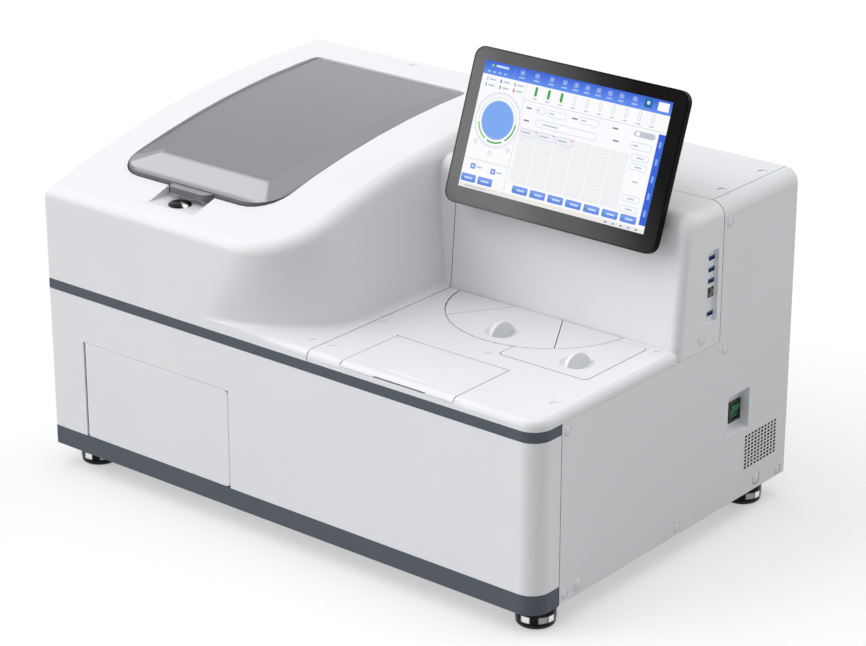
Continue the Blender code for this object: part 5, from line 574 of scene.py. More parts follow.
# %% Screw plugs, as (point, direction, radius, ring) for each cover
TOP_PLUG_RADIUS = 0.0059
SIDE_PLUG_RADIUS = 0.0062
WIDE_PLUG_RADIUS = 0.0082
TOP_PLUG_RING = 0.0003
SIDE_PLUG_RING = 0.0005
UP = Vector((0, 0, 1))
TO_RIGHT = Vector((1, 0, 0))
TO_REAR = Vector((0, 1, 0))
FRONT = -0.2655
UNDERSIDE = 0.032
SIDE_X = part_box("right_side_panel")[1].x
REAR_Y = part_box("rear_panel")[1].y
DESK_PLUGS = ((0.0655, 0.0299), (0.0612, 0.1306), (0.2269, 0.1316), (0.3771, 0.0615), (0.3812, 0.2641),
              (0.0601, 0.2317))
HOOD_PLUGS = ((0.0352, 0.0298), (-0.2050, 0.5100))
TOWER_PLUGS = ((0.3705, 0.4947), (0.3700, 0.4052))
SIDE_PLUGS = ((0.3800, 0.3859), (0.3800, 0.2184), (0.0565, 0.2209), (0.0560, 0.0111), (0.2880, 0.0102),
              (0.5159, 0.0081))
WIDE_SIDE_PLUGS = ((0.0816, 0.0134), (0.4644, 0.0140))
TOWER_SIDE_PLUGS = ((0.3269, 0.2465),)
REAR_PLUGS = ((-0.37, 0.05), (-0.37, 0.22), (-0.13, 0.05), (0.10, 0.05), (0.36, 0.05), (0.36, 0.36))


def on_top(node, places):
    """Plugs on a cover's upper side, from places given as across and depth behind the front."""
    tree = BVHTree.FromObject(NODES[node], bpy.context.evaluated_depsgraph_get())
    found = []
    for x, depth in places:
        point, direction, _, _ = tree.ray_cast(Vector((x, depth + FRONT, OVER_ALL)), -UP)
        found.append((point, direction, TOP_PLUG_RADIUS, TOP_PLUG_RING))
    return found


def on_side(places, radius):
    """Plugs on the right side, from depth and height over the case's underside."""
    return [(Vector((SIDE_X, depth + FRONT, rise + UNDERSIDE)), TO_RIGHT, radius, SIDE_PLUG_RING)
            for depth, rise in places]


def on_rear(places):
    """Plugs on the rear, from places given as across and height over the case's underside."""
    return [(Vector((x, REAR_Y, rise + UNDERSIDE)), TO_REAR, SIDE_PLUG_RADIUS, SIDE_PLUG_RING)
            for x, rise in places]


PLUGS = {
    "desk_cover": on_top("desk_cover", DESK_PLUGS),
    "hood_cover": on_top("hood_cover", HOOD_PLUGS),
    "tower_top_cover": on_top("tower_top_cover", TOWER_PLUGS),
    "right_side_panel": on_side(SIDE_PLUGS, SIDE_PLUG_RADIUS) + on_side(WIDE_SIDE_PLUGS, WIDE_PLUG_RADIUS),
    "tower_front_cover": on_side(TOWER_SIDE_PLUGS, SIDE_PLUG_RADIUS),
    "rear_panel": on_rear(REAR_PLUGS),
}
print(sum(len(places) for places in PLUGS.values()), "plugs")

# %% [markdown]
# Softer copies. A real cover has no knife-sharp edge, and light catches on each rounded one. A solid
# from CAD comes as loose triangles with sharp edges, so each piece gets a copy: its points are merged,
# its flat faces joined and its edges bevelled by a fraction of a millimetre. A shader could fake the
# round edges, but the export bakes no such trick. The copy then stands for the solid, on its body.

# %% What a copy goes through
MERGE_WITHIN = 0.000005
FLAT_WITHIN_DEG = 0.3
SHARP_OVER_DEG = 32.0
BEVEL_SEGMENTS = 2
LARGE_FACES_ONLY = 100


def into_object(bm, name, material):
    mesh = bpy.data.meshes.new(name)
    bm.to_mesh(mesh)
    bm.free()
    mesh.materials.append(material)
    piece = bpy.data.objects.new(name, mesh)
    bpy.context.scene.collection.objects.link(piece)
    return piece


def as_made(piece):
    """Keeps what a piece's modifiers make and takes the modifiers off."""
    graph = bpy.context.evaluated_depsgraph_get()
    mesh = bpy.data.meshes.new_from_object(piece.evaluated_get(graph))
    piece.modifiers.clear()
    piece.data = mesh
    return piece


def smooth(piece):
    piece.data.shade_smooth()
    piece.data.set_sharp_from_angle(angle=math.radians(SHARP_OVER_DEG))
    return piece


def keep_flat(piece):
    """Lets large faces rule the shading, so that a flat face stays flat beside a rounded edge."""
    step = piece.modifiers.new("flat", "WEIGHTED_NORMAL")
    step.mode = "FACE_AREA"
    step.weight = LARGE_FACES_ONLY
    step.keep_sharp = True
    return as_made(piece)


def round_edges(piece, width):
    step = piece.modifiers.new("edges", "BEVEL")
    step.width = width
    step.segments = BEVEL_SEGMENTS
    step.limit_method = "ANGLE"
    step.angle_limit = math.radians(SHARP_OVER_DEG)
    step.harden_normals = True
    step.use_clamp_overlap = True
    return as_made(piece)


def stand_for(piece, node):
    """The piece takes the solid's place, on its body."""
    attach(piece, NODES[node]["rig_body"])
    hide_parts(node)
    return piece


print("edges sharper than", SHARP_OVER_DEG, "degrees are rounded")

# %% [markdown]
# Two small hollows. Each plug sits in a shallow round pocket, and the flap has a hollow for a finger
# near its front. Both are too small for the solids. They could be faked by a bump, but a cut keeps a
# true edge in a close view, so a cutter is made for each and taken away with a Boolean modifier.

# %% Cutters for the plug pockets and the finger hollow
PLUG_FACETS = 40
PLUG_POCKET = 0.0009
SCOOP_X = 0.1900
SCOOP_DEPTH = 0.0145
SCOOP_HALF_SIZES = (0.0390, 0.0042, 0.0010)
SCOOP_FACETS = 48


def pocket_cutter(places):
    """A shallow round pocket for each plug, wider than the plug by its ring."""
    bm = bmesh.new()
    for point, direction, radius, ring in places:
        pose = Matrix.Translation(point) @ direction.to_track_quat("Z", "Y").to_matrix().to_4x4()
        bmesh.ops.create_cone(bm, cap_ends=True, segments=PLUG_FACETS, radius1=radius + ring,
                              radius2=radius + ring, depth=2 * PLUG_POCKET, matrix=pose)
    return bm


def scoop_cutter():
    """A flattened ball, wider than a finger, at the top of the flap."""
    bm = bmesh.new()
    place = Vector((SCOOP_X, SCOOP_DEPTH + FRONT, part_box("reagent_flap")[1].z))
    pose = Matrix.Translation(place) @ Matrix.Diagonal((*SCOOP_HALF_SIZES, 1))
    bmesh.ops.create_uvsphere(bm, u_segments=SCOOP_FACETS, v_segments=SCOOP_FACETS // 2, radius=1,
                              matrix=pose)
    return bm


def cut_with(piece, bm):
    cutter = into_object(bm, "cutter", piece.data.materials[0])
    step = piece.modifiers.new("pockets", "BOOLEAN")
    step.object = cutter
    step.solver = "EXACT"
    as_made(piece)
    bpy.data.objects.remove(cutter)


print("finger hollow is", 2 * SCOOP_HALF_SIZES[0], "m wide")

# %% [markdown]
# The copies themselves. Moulded covers have the widest rounds, folded sheet a narrower one, and what
# lies inside or is small the finest. Rods, motors and feet are turned, so their edges stay as they
# are. One width for all would look either blunt on the small pieces or sharp on the large ones.

# %% All soft copies
MOULDED_EDGE = 0.0009
SHEET_EDGE = 0.0005
FINE_EDGE = 0.0003
CORNERS = ("front_left", "front_right", "rear_left", "rear_right")
EDGE_ROUNDS = {
    MOULDED_EDGE: ("front_door", "reagent_flap", "disc_cover_left", "disc_cover_middle", "disc_cover_right",
                   "side_cover", "tower_front_cover", "desk_cover"),
    SHEET_EDGE: ("front_panel", "mid_band", "base_band", "hood_cover", "right_side_panel",
                 "left_side_panel", "rear_panel", "tower_top_cover", "lid_frame", "display_housing",
                 "display_glass", "display_hinge_base"),
    FINE_EDGE: ("lid_seat", "flap_well", "switch_body", "switch_rocker", "mains_inlet", "fan_frame",
                "fan_rotor", "inner_frame", "base_pan", "power_supply", "main_board", "measuring_head",
                "pipettor_arm", "reaction_disc", "reagent_disc", "wash_bottle", "waste_bottle"),
    0: ("lid_panel", "pipettor_column", "pipettor_spindle", "reaction_motor", "reagent_motor",
        "display_tilt_pin", "lid_hinge_rod", "flap_hinge_rod", "door_hinge_rod", "latch_button",
        *["foot_" + corner for corner in CORNERS], *["foot_pad_" + corner for corner in CORNERS]),
}


def soft_copy(node, width):
    bm = bmesh.new()
    bm.from_mesh(NODES[node].data)
    bmesh.ops.remove_doubles(bm, verts=bm.verts, dist=MERGE_WITHIN)
    bmesh.ops.dissolve_limit(bm, angle_limit=math.radians(FLAT_WITHIN_DEG), verts=bm.verts, edges=bm.edges)
    piece = into_object(bm, node + "_look", FINISH_OF[node])
    if node in PLUGS:
        cut_with(piece, pocket_cutter(PLUGS[node]))
    if node == "reagent_flap":
        cut_with(piece, scoop_cutter())
    smooth(piece)
    if width:
        round_edges(piece, width)
    return stand_for(keep_flat(piece), node)


LOOKS = {}
for width, names in EDGE_ROUNDS.items():
    for name in names:
        LOOKS[name] = soft_copy(name, width)
print(len(LOOKS), "soft copies,", sum(len(piece.data.polygons) for piece in LOOKS.values()), "faces")

# %% [markdown]
# Faces with their own finish, most of them painted shade. The gaps between the real covers are a few
# tenths of a millimetre wide, and their walls look nearly black, because hardly any light reaches them.
# Rendered with the covers' own white they would glow, so the walls in each seam get painted shade, a
# near-black colour. Picking faces by hand would break when a size changes. A short test on each face's
# place and direction picks them instead.

# %% Tests on a face
FRONT_FACING = 0.6
SIDE_FACING = 0.9
LEVEL_FACING = 0.99
UPRIGHT_UNDER = 0.45
SEAM_MARGIN = 0.0030


def repaint(node, slot, test):
    """Gives another finish to each face of a copy whose centre and normal pass a test."""
    mesh = LOOKS[node].data
    mesh.materials.append(FINISHES[slot])
    chosen = [face for face in mesh.polygons if test(face.center, face.normal)]
    for face in chosen:
        face.material_index = len(mesh.materials) - 1
    print(node, "has", len(chosen), "faces in", slot)


def upright(normal):
    return abs(normal.z) < UPRIGHT_UNDER


def within(centre, low, high, margin=0.0, axes=(0, 1)):
    return all(low[axis] + margin < centre[axis] < high[axis] - margin for axis in axes)


# %% Painted shade in the seams of the desk and beside the hood
HOOD_SEAM_NEAR = 0.0012
GRIP_OVER_DESK = 0.0030
GRIP_ROOM = 0.0300
LIFT_OFF = ("disc_cover_left", "disc_cover_middle", "disc_cover_right", "side_cover")
desk_low, desk_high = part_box("desk_cover")
flap_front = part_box("reagent_flap")[0].y
opening_boxes = [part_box(name) for name in (*LIFT_OFF, "reagent_flap")]


def cover_seam(node):
    """A test for the rim of a lift-off cover, which leaves out the walls of its grip."""
    grip = [point.co for point in LOOKS[node].data.vertices if point.co.z > desk_high.z + GRIP_OVER_DESK]
    middle = sum(grip, Vector()) / max(len(grip), 1)
    return lambda centre, normal: upright(normal) and (not grip or (centre - middle).xy.length > GRIP_ROOM)


def flap_seam(centre, normal):
    return upright(normal) and centre.y > flap_front + SEAM_MARGIN


def desk_seam(centre, normal):
    """The walls round the openings, and the wall against the hood."""
    behind_lip = centre.y > desk_low.y + SEAM_MARGIN and normal.y > -FRONT_FACING
    round_opening = any(within(centre, low, high, -SEAM_MARGIN) for low, high in opening_boxes)
    against_hood = abs(normal.x) > SIDE_FACING and centre.x < desk_low.x + HOOD_SEAM_NEAR
    return (upright(normal) and behind_lip and round_opening) or against_hood


def hood_seam(centre, normal):
    return normal.x > SIDE_FACING and centre.x > desk_low.x - HOOD_SEAM_NEAR


for name in LIFT_OFF:
    repaint(name, "seam_painted_shade", cover_seam(name))
repaint("reagent_flap", "seam_painted_shade", flap_seam)
repaint("desk_cover", "seam_painted_shade", desk_seam)
repaint("hood_cover", "seam_painted_shade", hood_seam)

# %% Painted shade in the seams of the tower, and in the side panel's vent
SEAM_TURNED = 0.5
VENT_LOW = Vector((0.39, 0.1650, 0.0350))
VENT_HIGH = Vector((0.41, 0.2600, 0.1400))
tower_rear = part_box("tower_front_cover")[1].y
panel_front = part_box("right_side_panel")[0].y


def tower_seam(centre, normal):
    return normal.y > SEAM_TURNED and centre.y > tower_rear - SEAM_MARGIN


def side_panel_seam(centre, normal):
    """The panel's front edge, its step beside the tower and the walls of the vent's holes."""
    at_edge = centre.y < panel_front + SEAM_MARGIN or abs(centre.y - tower_rear) < SEAM_MARGIN
    in_vent = abs(normal.x) < UPRIGHT_UNDER and within(centre, VENT_LOW, VENT_HIGH, axes=(1, 2))
    return (normal.y < -SIDE_FACING and at_edge) or in_vent


repaint("tower_front_cover", "seam_painted_shade", tower_seam)
repaint("tower_top_cover", "seam_painted_shade", lambda centre, normal: normal.x > SEAM_TURNED)
repaint("right_side_panel", "seam_painted_shade", side_panel_seam)

# %% [markdown]
# The lid, the latch pocket, the rocker and the display's lip. The lid's upright rim and its left slope
# are darker than its front in painted shade, the pocket's floor is a dimmer white in painted shade,
# the rocker's lower half lies in its own shade, painted darker, and the lip round the display gets
# the glass's painted reflection. Each could be a piece of its own, but on the real object it is one
# moulding, so only its faces differ.

# %% Painted shade on the lid, the latch pocket and the rocker
LEFT_SLOPE_FACING = 0.12
PANEL_FILL_SHARE = 1.007
POCKET_BEFORE = Vector((0.0225, 0.0025, 0))
POCKET_BEHIND = Vector((0.0255, 0.0070, 0))
latch_low, latch_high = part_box("latch_button")
pocket_box = (latch_low - POCKET_BEFORE, latch_high + POCKET_BEHIND)
rocker_low, rocker_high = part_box("switch_rocker")
rocker_middle = (rocker_low + rocker_high) / 2
panel_low, panel_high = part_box("lid_panel")
panel_middle = (panel_low.x + panel_high.x) / 2

# Painted shade on the lid frame's left slope and its upright rim
repaint("lid_frame", "smoke_left_slope_painted_shade", lambda centre, normal: normal.x < -LEFT_SLOPE_FACING)
repaint("lid_frame", "smoke_rim_painted_shade", lambda centre, normal: normal.z < UPRIGHT_UNDER)
for point in LOOKS["lid_panel"].data.vertices:
    point.co.x = panel_middle + (point.co.x - panel_middle) * PANEL_FILL_SHARE
# Painted shade: the latch pocket's floor gets a dimmer white
repaint("hood_cover", "white_painted_shade_and_highlight",
        lambda centre, normal: within(centre, *pocket_box) and normal.z > LEVEL_FACING)
# Painted shade on the rocker's lower face
repaint("switch_rocker", "switch_painted_shade",
        lambda centre, normal: normal.x > FRONT_FACING and centre.z < rocker_middle.z)

# %% Display housing, and the glass's painted reflection on its lip
LIP_DEPTH = 0.0060
LIP_SIDEWAYS = 0.3
SCREEN_TILT = math.radians(20.0)
SCREEN_OUT = Vector((0, -math.cos(SCREEN_TILT), math.sin(SCREEN_TILT)))
glass_low, glass_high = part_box("display_glass")
GLASS_MIDDLE = (glass_low + glass_high) / 2


def lip_face(centre, normal):
    """The faces that look the way the glass does, and the side walls just behind it; they get the glass's
    painted reflection.
    """
    near_glass = (centre - GLASS_MIDDLE).dot(SCREEN_OUT) > -LIP_DEPTH
    return normal.dot(SCREEN_OUT) > FRONT_FACING or (normal.x < LIP_SIDEWAYS and near_glass)


LOOKS["display_housing"].data.materials[0] = FINISHES["display_black"]
# The lip gets the glass's painted reflection
repaint("display_housing", "screen_glass", lip_face)

# %% [markdown]
# The plugs themselves. Each one is a small shallow dome that snaps over a screw head. One dome, set on
# every marked point and turned to its cover, could be copied in a loop, but it is a job for Geometry
# Nodes: the points carry their direction and their radius, and the tree puts a scaled dome on each.


# %% Domes on points, with Geometry Nodes
def dome_tree():
    tree = bpy.data.node_groups.new("domes_on_points", "GeometryNodeTree")
    face = tree.interface
    face.new_socket("Points", in_out="INPUT", socket_type="NodeSocketGeometry")
    face.new_socket("Rise share", in_out="INPUT", socket_type="NodeSocketFloat")
    face.new_socket("Facets", in_out="INPUT", socket_type="NodeSocketInt")
    face.new_socket("Material", in_out="INPUT", socket_type="NodeSocketMaterial")
    face.new_socket("Domes", in_out="OUTPUT", socket_type="NodeSocketGeometry")
    paint = Paint(tree)
    given = tree.nodes.new("NodeGroupInput").outputs
    points, rise, facets, material = (Wire(paint, given[order]) for order in range(4))
    facing = paint.node("GeometryNodeInputNamedAttribute", {"data_type": "FLOAT_VECTOR"}, {0: "facing"})
    size = paint.node("GeometryNodeInputNamedAttribute", {"data_type": "FLOAT"}, {0: "size"})
    turn = paint.node("FunctionNodeAlignRotationToVector", {"axis": "Z"}, {"Vector": facing})
    ball = paint.node("GeometryNodeMeshUVSphere", None, {"Segments": facets, "Rings": facets, "Radius": 1.0})
    squash = paint.node("ShaderNodeCombineXYZ", None, {0: 1.0, 1: 1.0, 2: rise})
    dome = paint.node("GeometryNodeTransform", None, {"Geometry": ball, "Scale": squash})
    smooth_dome = paint.node("GeometryNodeSetShadeSmooth", None, {"Geometry": dome})
    placed = {"Points": points, "Instance": smooth_dome, "Rotation": turn, "Scale": size}
    real = paint.node("GeometryNodeRealizeInstances", None,
                      {0: paint.node("GeometryNodeInstanceOnPoints", None, placed)})
    painted = paint.node("GeometryNodeSetMaterial", None, {"Geometry": real, "Material": material})
    result = tree.nodes.new("NodeGroupOutput")
    tree.links.new(painted.socket, result.inputs[0])
    return tree


def domes(name, places, rise_share, facets, material):
    """Places are (point, direction, radius)."""
    mesh = bpy.data.meshes.new(name)
    mesh.from_pydata([point for point, _, _ in places], [], [])
    facing = mesh.attributes.new("facing", "FLOAT_VECTOR", "POINT")
    facing.data.foreach_set("vector", [part for _, direction, _ in places for part in direction])
    size = mesh.attributes.new("size", "FLOAT", "POINT")
    size.data.foreach_set("value", [radius for _, _, radius in places])
    piece = bpy.data.objects.new(name, mesh)
    bpy.context.scene.collection.objects.link(piece)
    step = piece.modifiers.new("domes", "NODES")
    step.node_group = dome_tree()
    values = {"Rise share": rise_share, "Facets": facets, "Material": material}
    for socket in step.node_group.interface.items_tree:
        if socket.name in values:
            step[socket.identifier] = values[socket.name]
    return as_made(piece)


# %% All plugs, those of a kind as one piece
DOME_FACETS = 20
SUNK_SHARE = 0.12
TOP_RISE_SHARE = 0.05
SIDE_RISE_SHARE = 0.28
PLUG_KINDS = {"top_plugs": (TOP_PLUG_RING, TOP_RISE_SHARE, "white_shell"),
              "side_plugs": (SIDE_PLUG_RING, SIDE_RISE_SHARE, "white_sheet")}
for name, (ring, rise_share, slot) in PLUG_KINDS.items():
    chosen = [(point - direction * radius * SUNK_SHARE, direction, radius)
              for places in PLUGS.values()
              for point, direction, radius, its_ring in places if its_ring == ring]
    plugs = domes(name, chosen, rise_share, DOME_FACETS, FINISHES[slot])
    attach(plugs, "case")
    print(name, "have", len(plugs.data.polygons), "faces")

# %% [markdown]
# Sockets. The CAD solid of a socket is one body, but a real one is a steel shell round black plastic,
# with a blue tongue in a fast USB socket. The inside could be modelled in small pieces, yet the mouth
# is only a few pixels wide in the picture. So the faces of the copy are painted by where they lie, and
# in the network socket the faces that look to the front or up get a pale painted highlight.

# %% Insides of the sockets
SOCKETS = ("usb_port_1", "usb_port_2", "usb_port_3", "usb_port_4", "network_port")
SHELL_WALL = 0.0007
TONGUE_HALF = 0.0011


def in_socket(name):
    """A test for the inside of a socket: its whole mouth, or what lies inside the shell's wall."""
    low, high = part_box(name)
    wall = SHELL_WALL / 2 if name == "network_port" else SHELL_WALL
    return lambda centre, normal: within(centre, low, high, wall, (1, 2))


def on_tongue(name):
    low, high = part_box(name)
    middle = (low + high) / 2
    inside = in_socket(name)
    return lambda centre, normal: inside(centre, normal) and abs(centre.z - middle.z) < TONGUE_HALF


# Painted highlight: the network socket's inner faces that look to the front or up
def on_painted_highlight(name):
    inside = in_socket(name)
    return lambda centre, normal: (inside(centre, normal)
                                   and (normal.y < -FRONT_FACING or normal.z > FRONT_FACING))


for name in SOCKETS:
    LOOKS[name] = soft_copy(name, 0)
    repaint(name, "black_plastic", in_socket(name))
    if name == "network_port":
        repaint(name, "white_painted_shade_and_highlight", on_painted_highlight(name))
    else:
        repaint(name, "socket_blue", on_tongue(name))

# %% [markdown]
# The picture on the display: a plain, generic control screen without any lettering. It could be an
# image on the glass, but that would need a file and would blur in a close view. Here each shape is a
# thin flat patch a few hundredths of a millimetre in front of the glass, grouped by colour. Places are
# shares of the lit area, u from its left side and v from its top, so the layout can be resized.

# %% Screen: its plane
GLASS_HALF = 0.0011
SCREEN_LEFT = -0.1415
SCREEN_TOP = 0.0827
SCREEN_WIDE = 0.2820
SCREEN_TALL = 0.1600
SCREEN_ACROSS = Vector((1, 0, 0))
SCREEN_UP = Vector((0, math.sin(SCREEN_TILT), math.cos(SCREEN_TILT)))
SCREEN_MIDDLE = GLASS_MIDDLE + SCREEN_OUT * GLASS_HALF
screen_shapes = {}


def on_screen(u, v):
    """Shares of the lit area as metres across and up from the display's middle."""
    return SCREEN_LEFT + SCREEN_WIDE * u, SCREEN_TOP - SCREEN_TALL * v


def add_shape(colour, layer, outline):
    screen_shapes.setdefault(colour, []).append((layer, outline))


print("lit area is", SCREEN_WIDE, "by", SCREEN_TALL, "m")

# %% Screen: plates, dots and bows
CORNER_STEPS = 4
LINE_WEIGHT = 0.0005
BOW_STEP_DEG = 3.0


def plate(colour, layer, u, v, wide, tall, round_share):
    """A rectangle about its middle, in shares, with corners rounded by a share of its height."""
    x, y = on_screen(u, v)
    half_x = SCREEN_WIDE * wide / 2
    half_y = SCREEN_TALL * tall / 2
    radius = min(half_x, half_y) * round_share
    outline = []
    for corner, (side_x, side_y) in enumerate(((1, 1), (-1, 1), (-1, -1), (1, -1))):
        middle_x = x + side_x * (half_x - radius)
        middle_y = y + side_y * (half_y - radius)
        if radius == 0:
            outline.append((middle_x, middle_y))
            continue
        for step in range(CORNER_STEPS + 1):
            angle = math.pi / 2 * (corner + step / CORNER_STEPS)
            outline.append((middle_x + radius * math.cos(angle), middle_y + radius * math.sin(angle)))
    add_shape(colour, layer, outline)


def framed(line, fill, layer, u, v, wide, tall, round_share):
    """A rectangle with a thin line round it."""
    plate(line, layer, u, v, wide, tall, round_share)
    inner_wide = wide - 2 * LINE_WEIGHT / SCREEN_WIDE
    inner_tall = tall - 2 * LINE_WEIGHT / SCREEN_TALL
    plate(fill, layer + 1, u, v, inner_wide, inner_tall, round_share)


def stamp(places, parts):
    """Sets the same parts on each place. A part is its colour, or line and fill, then its layer, its
    shift to the right and down, its width, height and roundness."""
    for u, v in places:
        for colours, layer, right, down, wide, tall, round_share in parts:
            place = (layer, u + right, v + down, wide, tall, round_share)
            if isinstance(colours, tuple):
                framed(*colours, *place)
            else:
                plate(colours, *place)


def dot(colour, layer, u, v, radius, facets):
    x, y = on_screen(u, v)
    turns = [2 * math.pi * step / facets for step in range(facets)]
    add_shape(colour, layer, [(x + radius * math.cos(turn), y + radius * math.sin(turn)) for turn in turns])


def bow(colour, layer, u, v, radius, width, first_deg, last_deg):
    """A part of a ring, as short straight pieces."""
    x, y = on_screen(u, v)
    count = max(1, round((last_deg - first_deg) / BOW_STEP_DEG))
    for step in range(count):
        ends = [math.radians(first_deg + (last_deg - first_deg) * (step + more) / count) for more in (0, 1)]
        corners = [(radius - width / 2, ends[0]), (radius + width / 2, ends[0]),
                   (radius + width / 2, ends[1]), (radius - width / 2, ends[1])]
        add_shape(colour, layer, [(x + r * math.cos(turn), y + r * math.sin(turn)) for r, turn in corners])


print("a rounded corner has", CORNER_STEPS + 1, "points")

# %% [markdown]
# Light of the picture. A real display shines evenly, dimmed a little here and there by its backlight.
# An emission shader alone would be flat, so each colour glows through a faint cloud. The top bar's
# colour runs from a darker lower edge to a lighter upper one.

# %% Screen: paints
BAR_TALL_SHARE = 0.105
SCREEN_CLOUDS_PER_METRE = 12.0
SCREEN_TONES = {
    "white": (253, 253, 255), "bar": (80, 118, 228), "blue": (62, 103, 217), "button": (104, 142, 231),
    "button_top": (128, 164, 241), "sky": (131, 173, 243), "pale_blue": (205, 222, 250),
    "line_blue": (170, 198, 246), "grey": (243, 243, 245), "mid_grey": (196, 202, 212),
    "dark_grey": (140, 148, 160), "green": (78, 168, 84), "lime": (140, 200, 72), "teal": (40, 110, 160),
    "cyan": (70, 190, 215), "red": (214, 70, 80), "pink": (244, 176, 196), "beige": (240, 236, 232),
}
BAR_TOP = tone(66, 103, 216)
BAR_BOTTOM = tone(105, 148, 240)


def glow(name, colour):
    material, paint = plain_material("screen_" + name, grey(0), 0.35, Specular_IOR_Level=0.0,
                                     Emission_Strength=1.0)
    where = place_on_piece(paint)
    light = noise(paint, where, SCREEN_CLOUDS_PER_METRE)
    lit = paint.blend(light, shaded(colour, 0.97), colour)
    if name == "bar":
        height = paint.axes(where)[2]
        low_z = SCREEN_MIDDLE.z + (SCREEN_TOP - BAR_TALL_SHARE * SCREEN_TALL) * SCREEN_UP.z
        high_z = SCREEN_MIDDLE.z + SCREEN_TOP * SCREEN_UP.z
        lit = paint.blend((height - low_z) / (high_z - low_z), BAR_BOTTOM, BAR_TOP)
    link(material, "Emission Color", lit)
    return material


SCREEN_PAINTS = {name: glow(name, tone(*levels)) for name, levels in SCREEN_TONES.items()}
print(len(SCREEN_PAINTS), "screen paints")

# %% [markdown]
# The layout. The real screen shows a menu bar, a dial, a row of tubes, a few fields, a table and a row
# of buttons. Each group below is one table of parts in shares, which a loop stamps on its places, so
# that a group keeps its look wherever it is moved.

# %% Screen: top bar and legend
DOTTED_COUNT = 8
DOTTED_RADIUS = 0.0003
DOTTED_FACETS = 8
LAMP_RADIUS = 0.0020
FINE_FACETS = 60
LAMP_FACETS = 40
SMALL_FACETS = 24
DOTTED_SHARES = ((0.17, 0.018), (0.40, 0.018))
DOTTED_PITCH_SHARE = 0.010
LAMP_SHARES = (0.045, 0.030)
AT_CORNER = ((0, 0),)
BAR_SHARES = (("white", 0, 0.5, 0.5, 1.0, 1.0, 0),
              ("bar", 1, 0.5, BAR_TALL_SHARE / 2, 1.0, BAR_TALL_SHARE, 0))
BAR_BOX_SHARES = (("teal", 2, 0.88, 0.045, 0.040, 0.070, 0.3),
                  ("pale_blue", 3, 0.88, 0.042, 0.016, 0.026, 0.5),
                  ("white", 2, 0.958, 0.050, 0.056, 0.066, 0.1),
                  ("pale_blue", 2, 0.098, 0.030, 0.070, 0.018, 0.5))
ICON_SHARES = ((("pale_blue", "bar"), 2, 0, 0.038, 0.022, 0.034, 0.5),
               ("pale_blue", 4, 0, 0.038, 0.010, 0.012, 0.5), ("line_blue", 2, 0, 0.076, 0.030, 0.012, 0.6))
ICON_ROW_SHARES = (0.21, 0.29, 0.37, 0.44, 0.50, 0.56, 0.62, 0.68, 0.74, 0.81)
MENU_SHARES = (("line_blue", 2, 0, 0.080, 0.016, 0.014, 0.6),)
MENU_ROW_SHARES = (0.03, 0.06, 0.09, 0.12)
LEGEND_SHARES = (("mid_grey", 0.031, 0.138), ("blue", 0.106, 0.138), ("cyan", 0.182, 0.138),
                 ("cyan", 0.029, 0.185), ("green", 0.106, 0.185), ("red", 0.182, 0.185))
TICK_SHARES = (1, 0, 0, 0.007, 0.030, 0.6)
WORD_SHARES = ("mid_grey", 1, 0.030, 0, 0.036, 0.013, 0.6)

stamp(AT_CORNER, BAR_SHARES)
for u, v in DOTTED_SHARES:
    for step in range(DOTTED_COUNT):
        dot("line_blue", 2, u, v + DOTTED_PITCH_SHARE * step, DOTTED_RADIUS, DOTTED_FACETS)
stamp([(u, 0) for u in ICON_ROW_SHARES], ICON_SHARES)
stamp(AT_CORNER, BAR_BOX_SHARES)
stamp([(u, 0) for u in MENU_ROW_SHARES], MENU_SHARES)
dot("lime", 2, *LAMP_SHARES, LAMP_RADIUS, LAMP_FACETS)
for colour, u, v in LEGEND_SHARES:
    stamp([(u, v)], [(colour, *TICK_SHARES), WORD_SHARES])
print(sum(len(shapes) for shapes in screen_shapes.values()), "shapes so far")

# %% Screen: dial and left column
DIAL_SHARES = (0.132, 0.437)
DIAL_RADIUS = 0.0336
DIAL_WIDTH = 0.0040
DASH_WIDTH = 0.0005
DASH_EVERY_DEG = 12
DASH_LONG_DEG = 7
RING_RADIUS = 0.0282
RING_PARTS = (("mid_grey", 0.0006, 0, 190), ("lime", 0.0020, 193, 242), ("green", 0.0020, 250, 298),
              ("green", 0.0020, 307, 359))
DISC_RADIUS = 0.0235
DISC_RIM = 0.0011
KNOB_RADIUS = 0.0030
KNOB_RIM = 0.0006
KNOB_SHARES = ((0.040, 0.632), (0.128, 0.698), (0.220, 0.643))
COLUMN_SHARES = (("mid_grey", 1, 0.1225, 0.770, 0.245, 0.0035, 0),
                 ("mid_grey", 1, 0.245, 0.550, 0.0018, 0.87, 0))
BOX_ROW_SHARES = ((0.056, 0.824), (0.168, 0.830))
BOX_SHARES = (("button", 1, 0, 0, 0.026, 0.042, 0.3), ("pale_blue", 2, 0, 0, 0.013, 0.022, 0.3),
              ("mid_grey", 1, 0.034, 0, 0.030, 0.013, 0.6))
LEFT_BUTTON_ROW_SHARES = ((0.045, 0.922), (0.1365, 0.922))
LEFT_BUTTON_SHARES = (("button", 1, 0, 0, 0.080, 0.060, 0.3),
                      ("button_top", 2, 0, -0.012, 0.0752, 0.024, 0.5),
                      ("pale_blue", 3, 0, 0, 0.044, 0.014, 0.6))

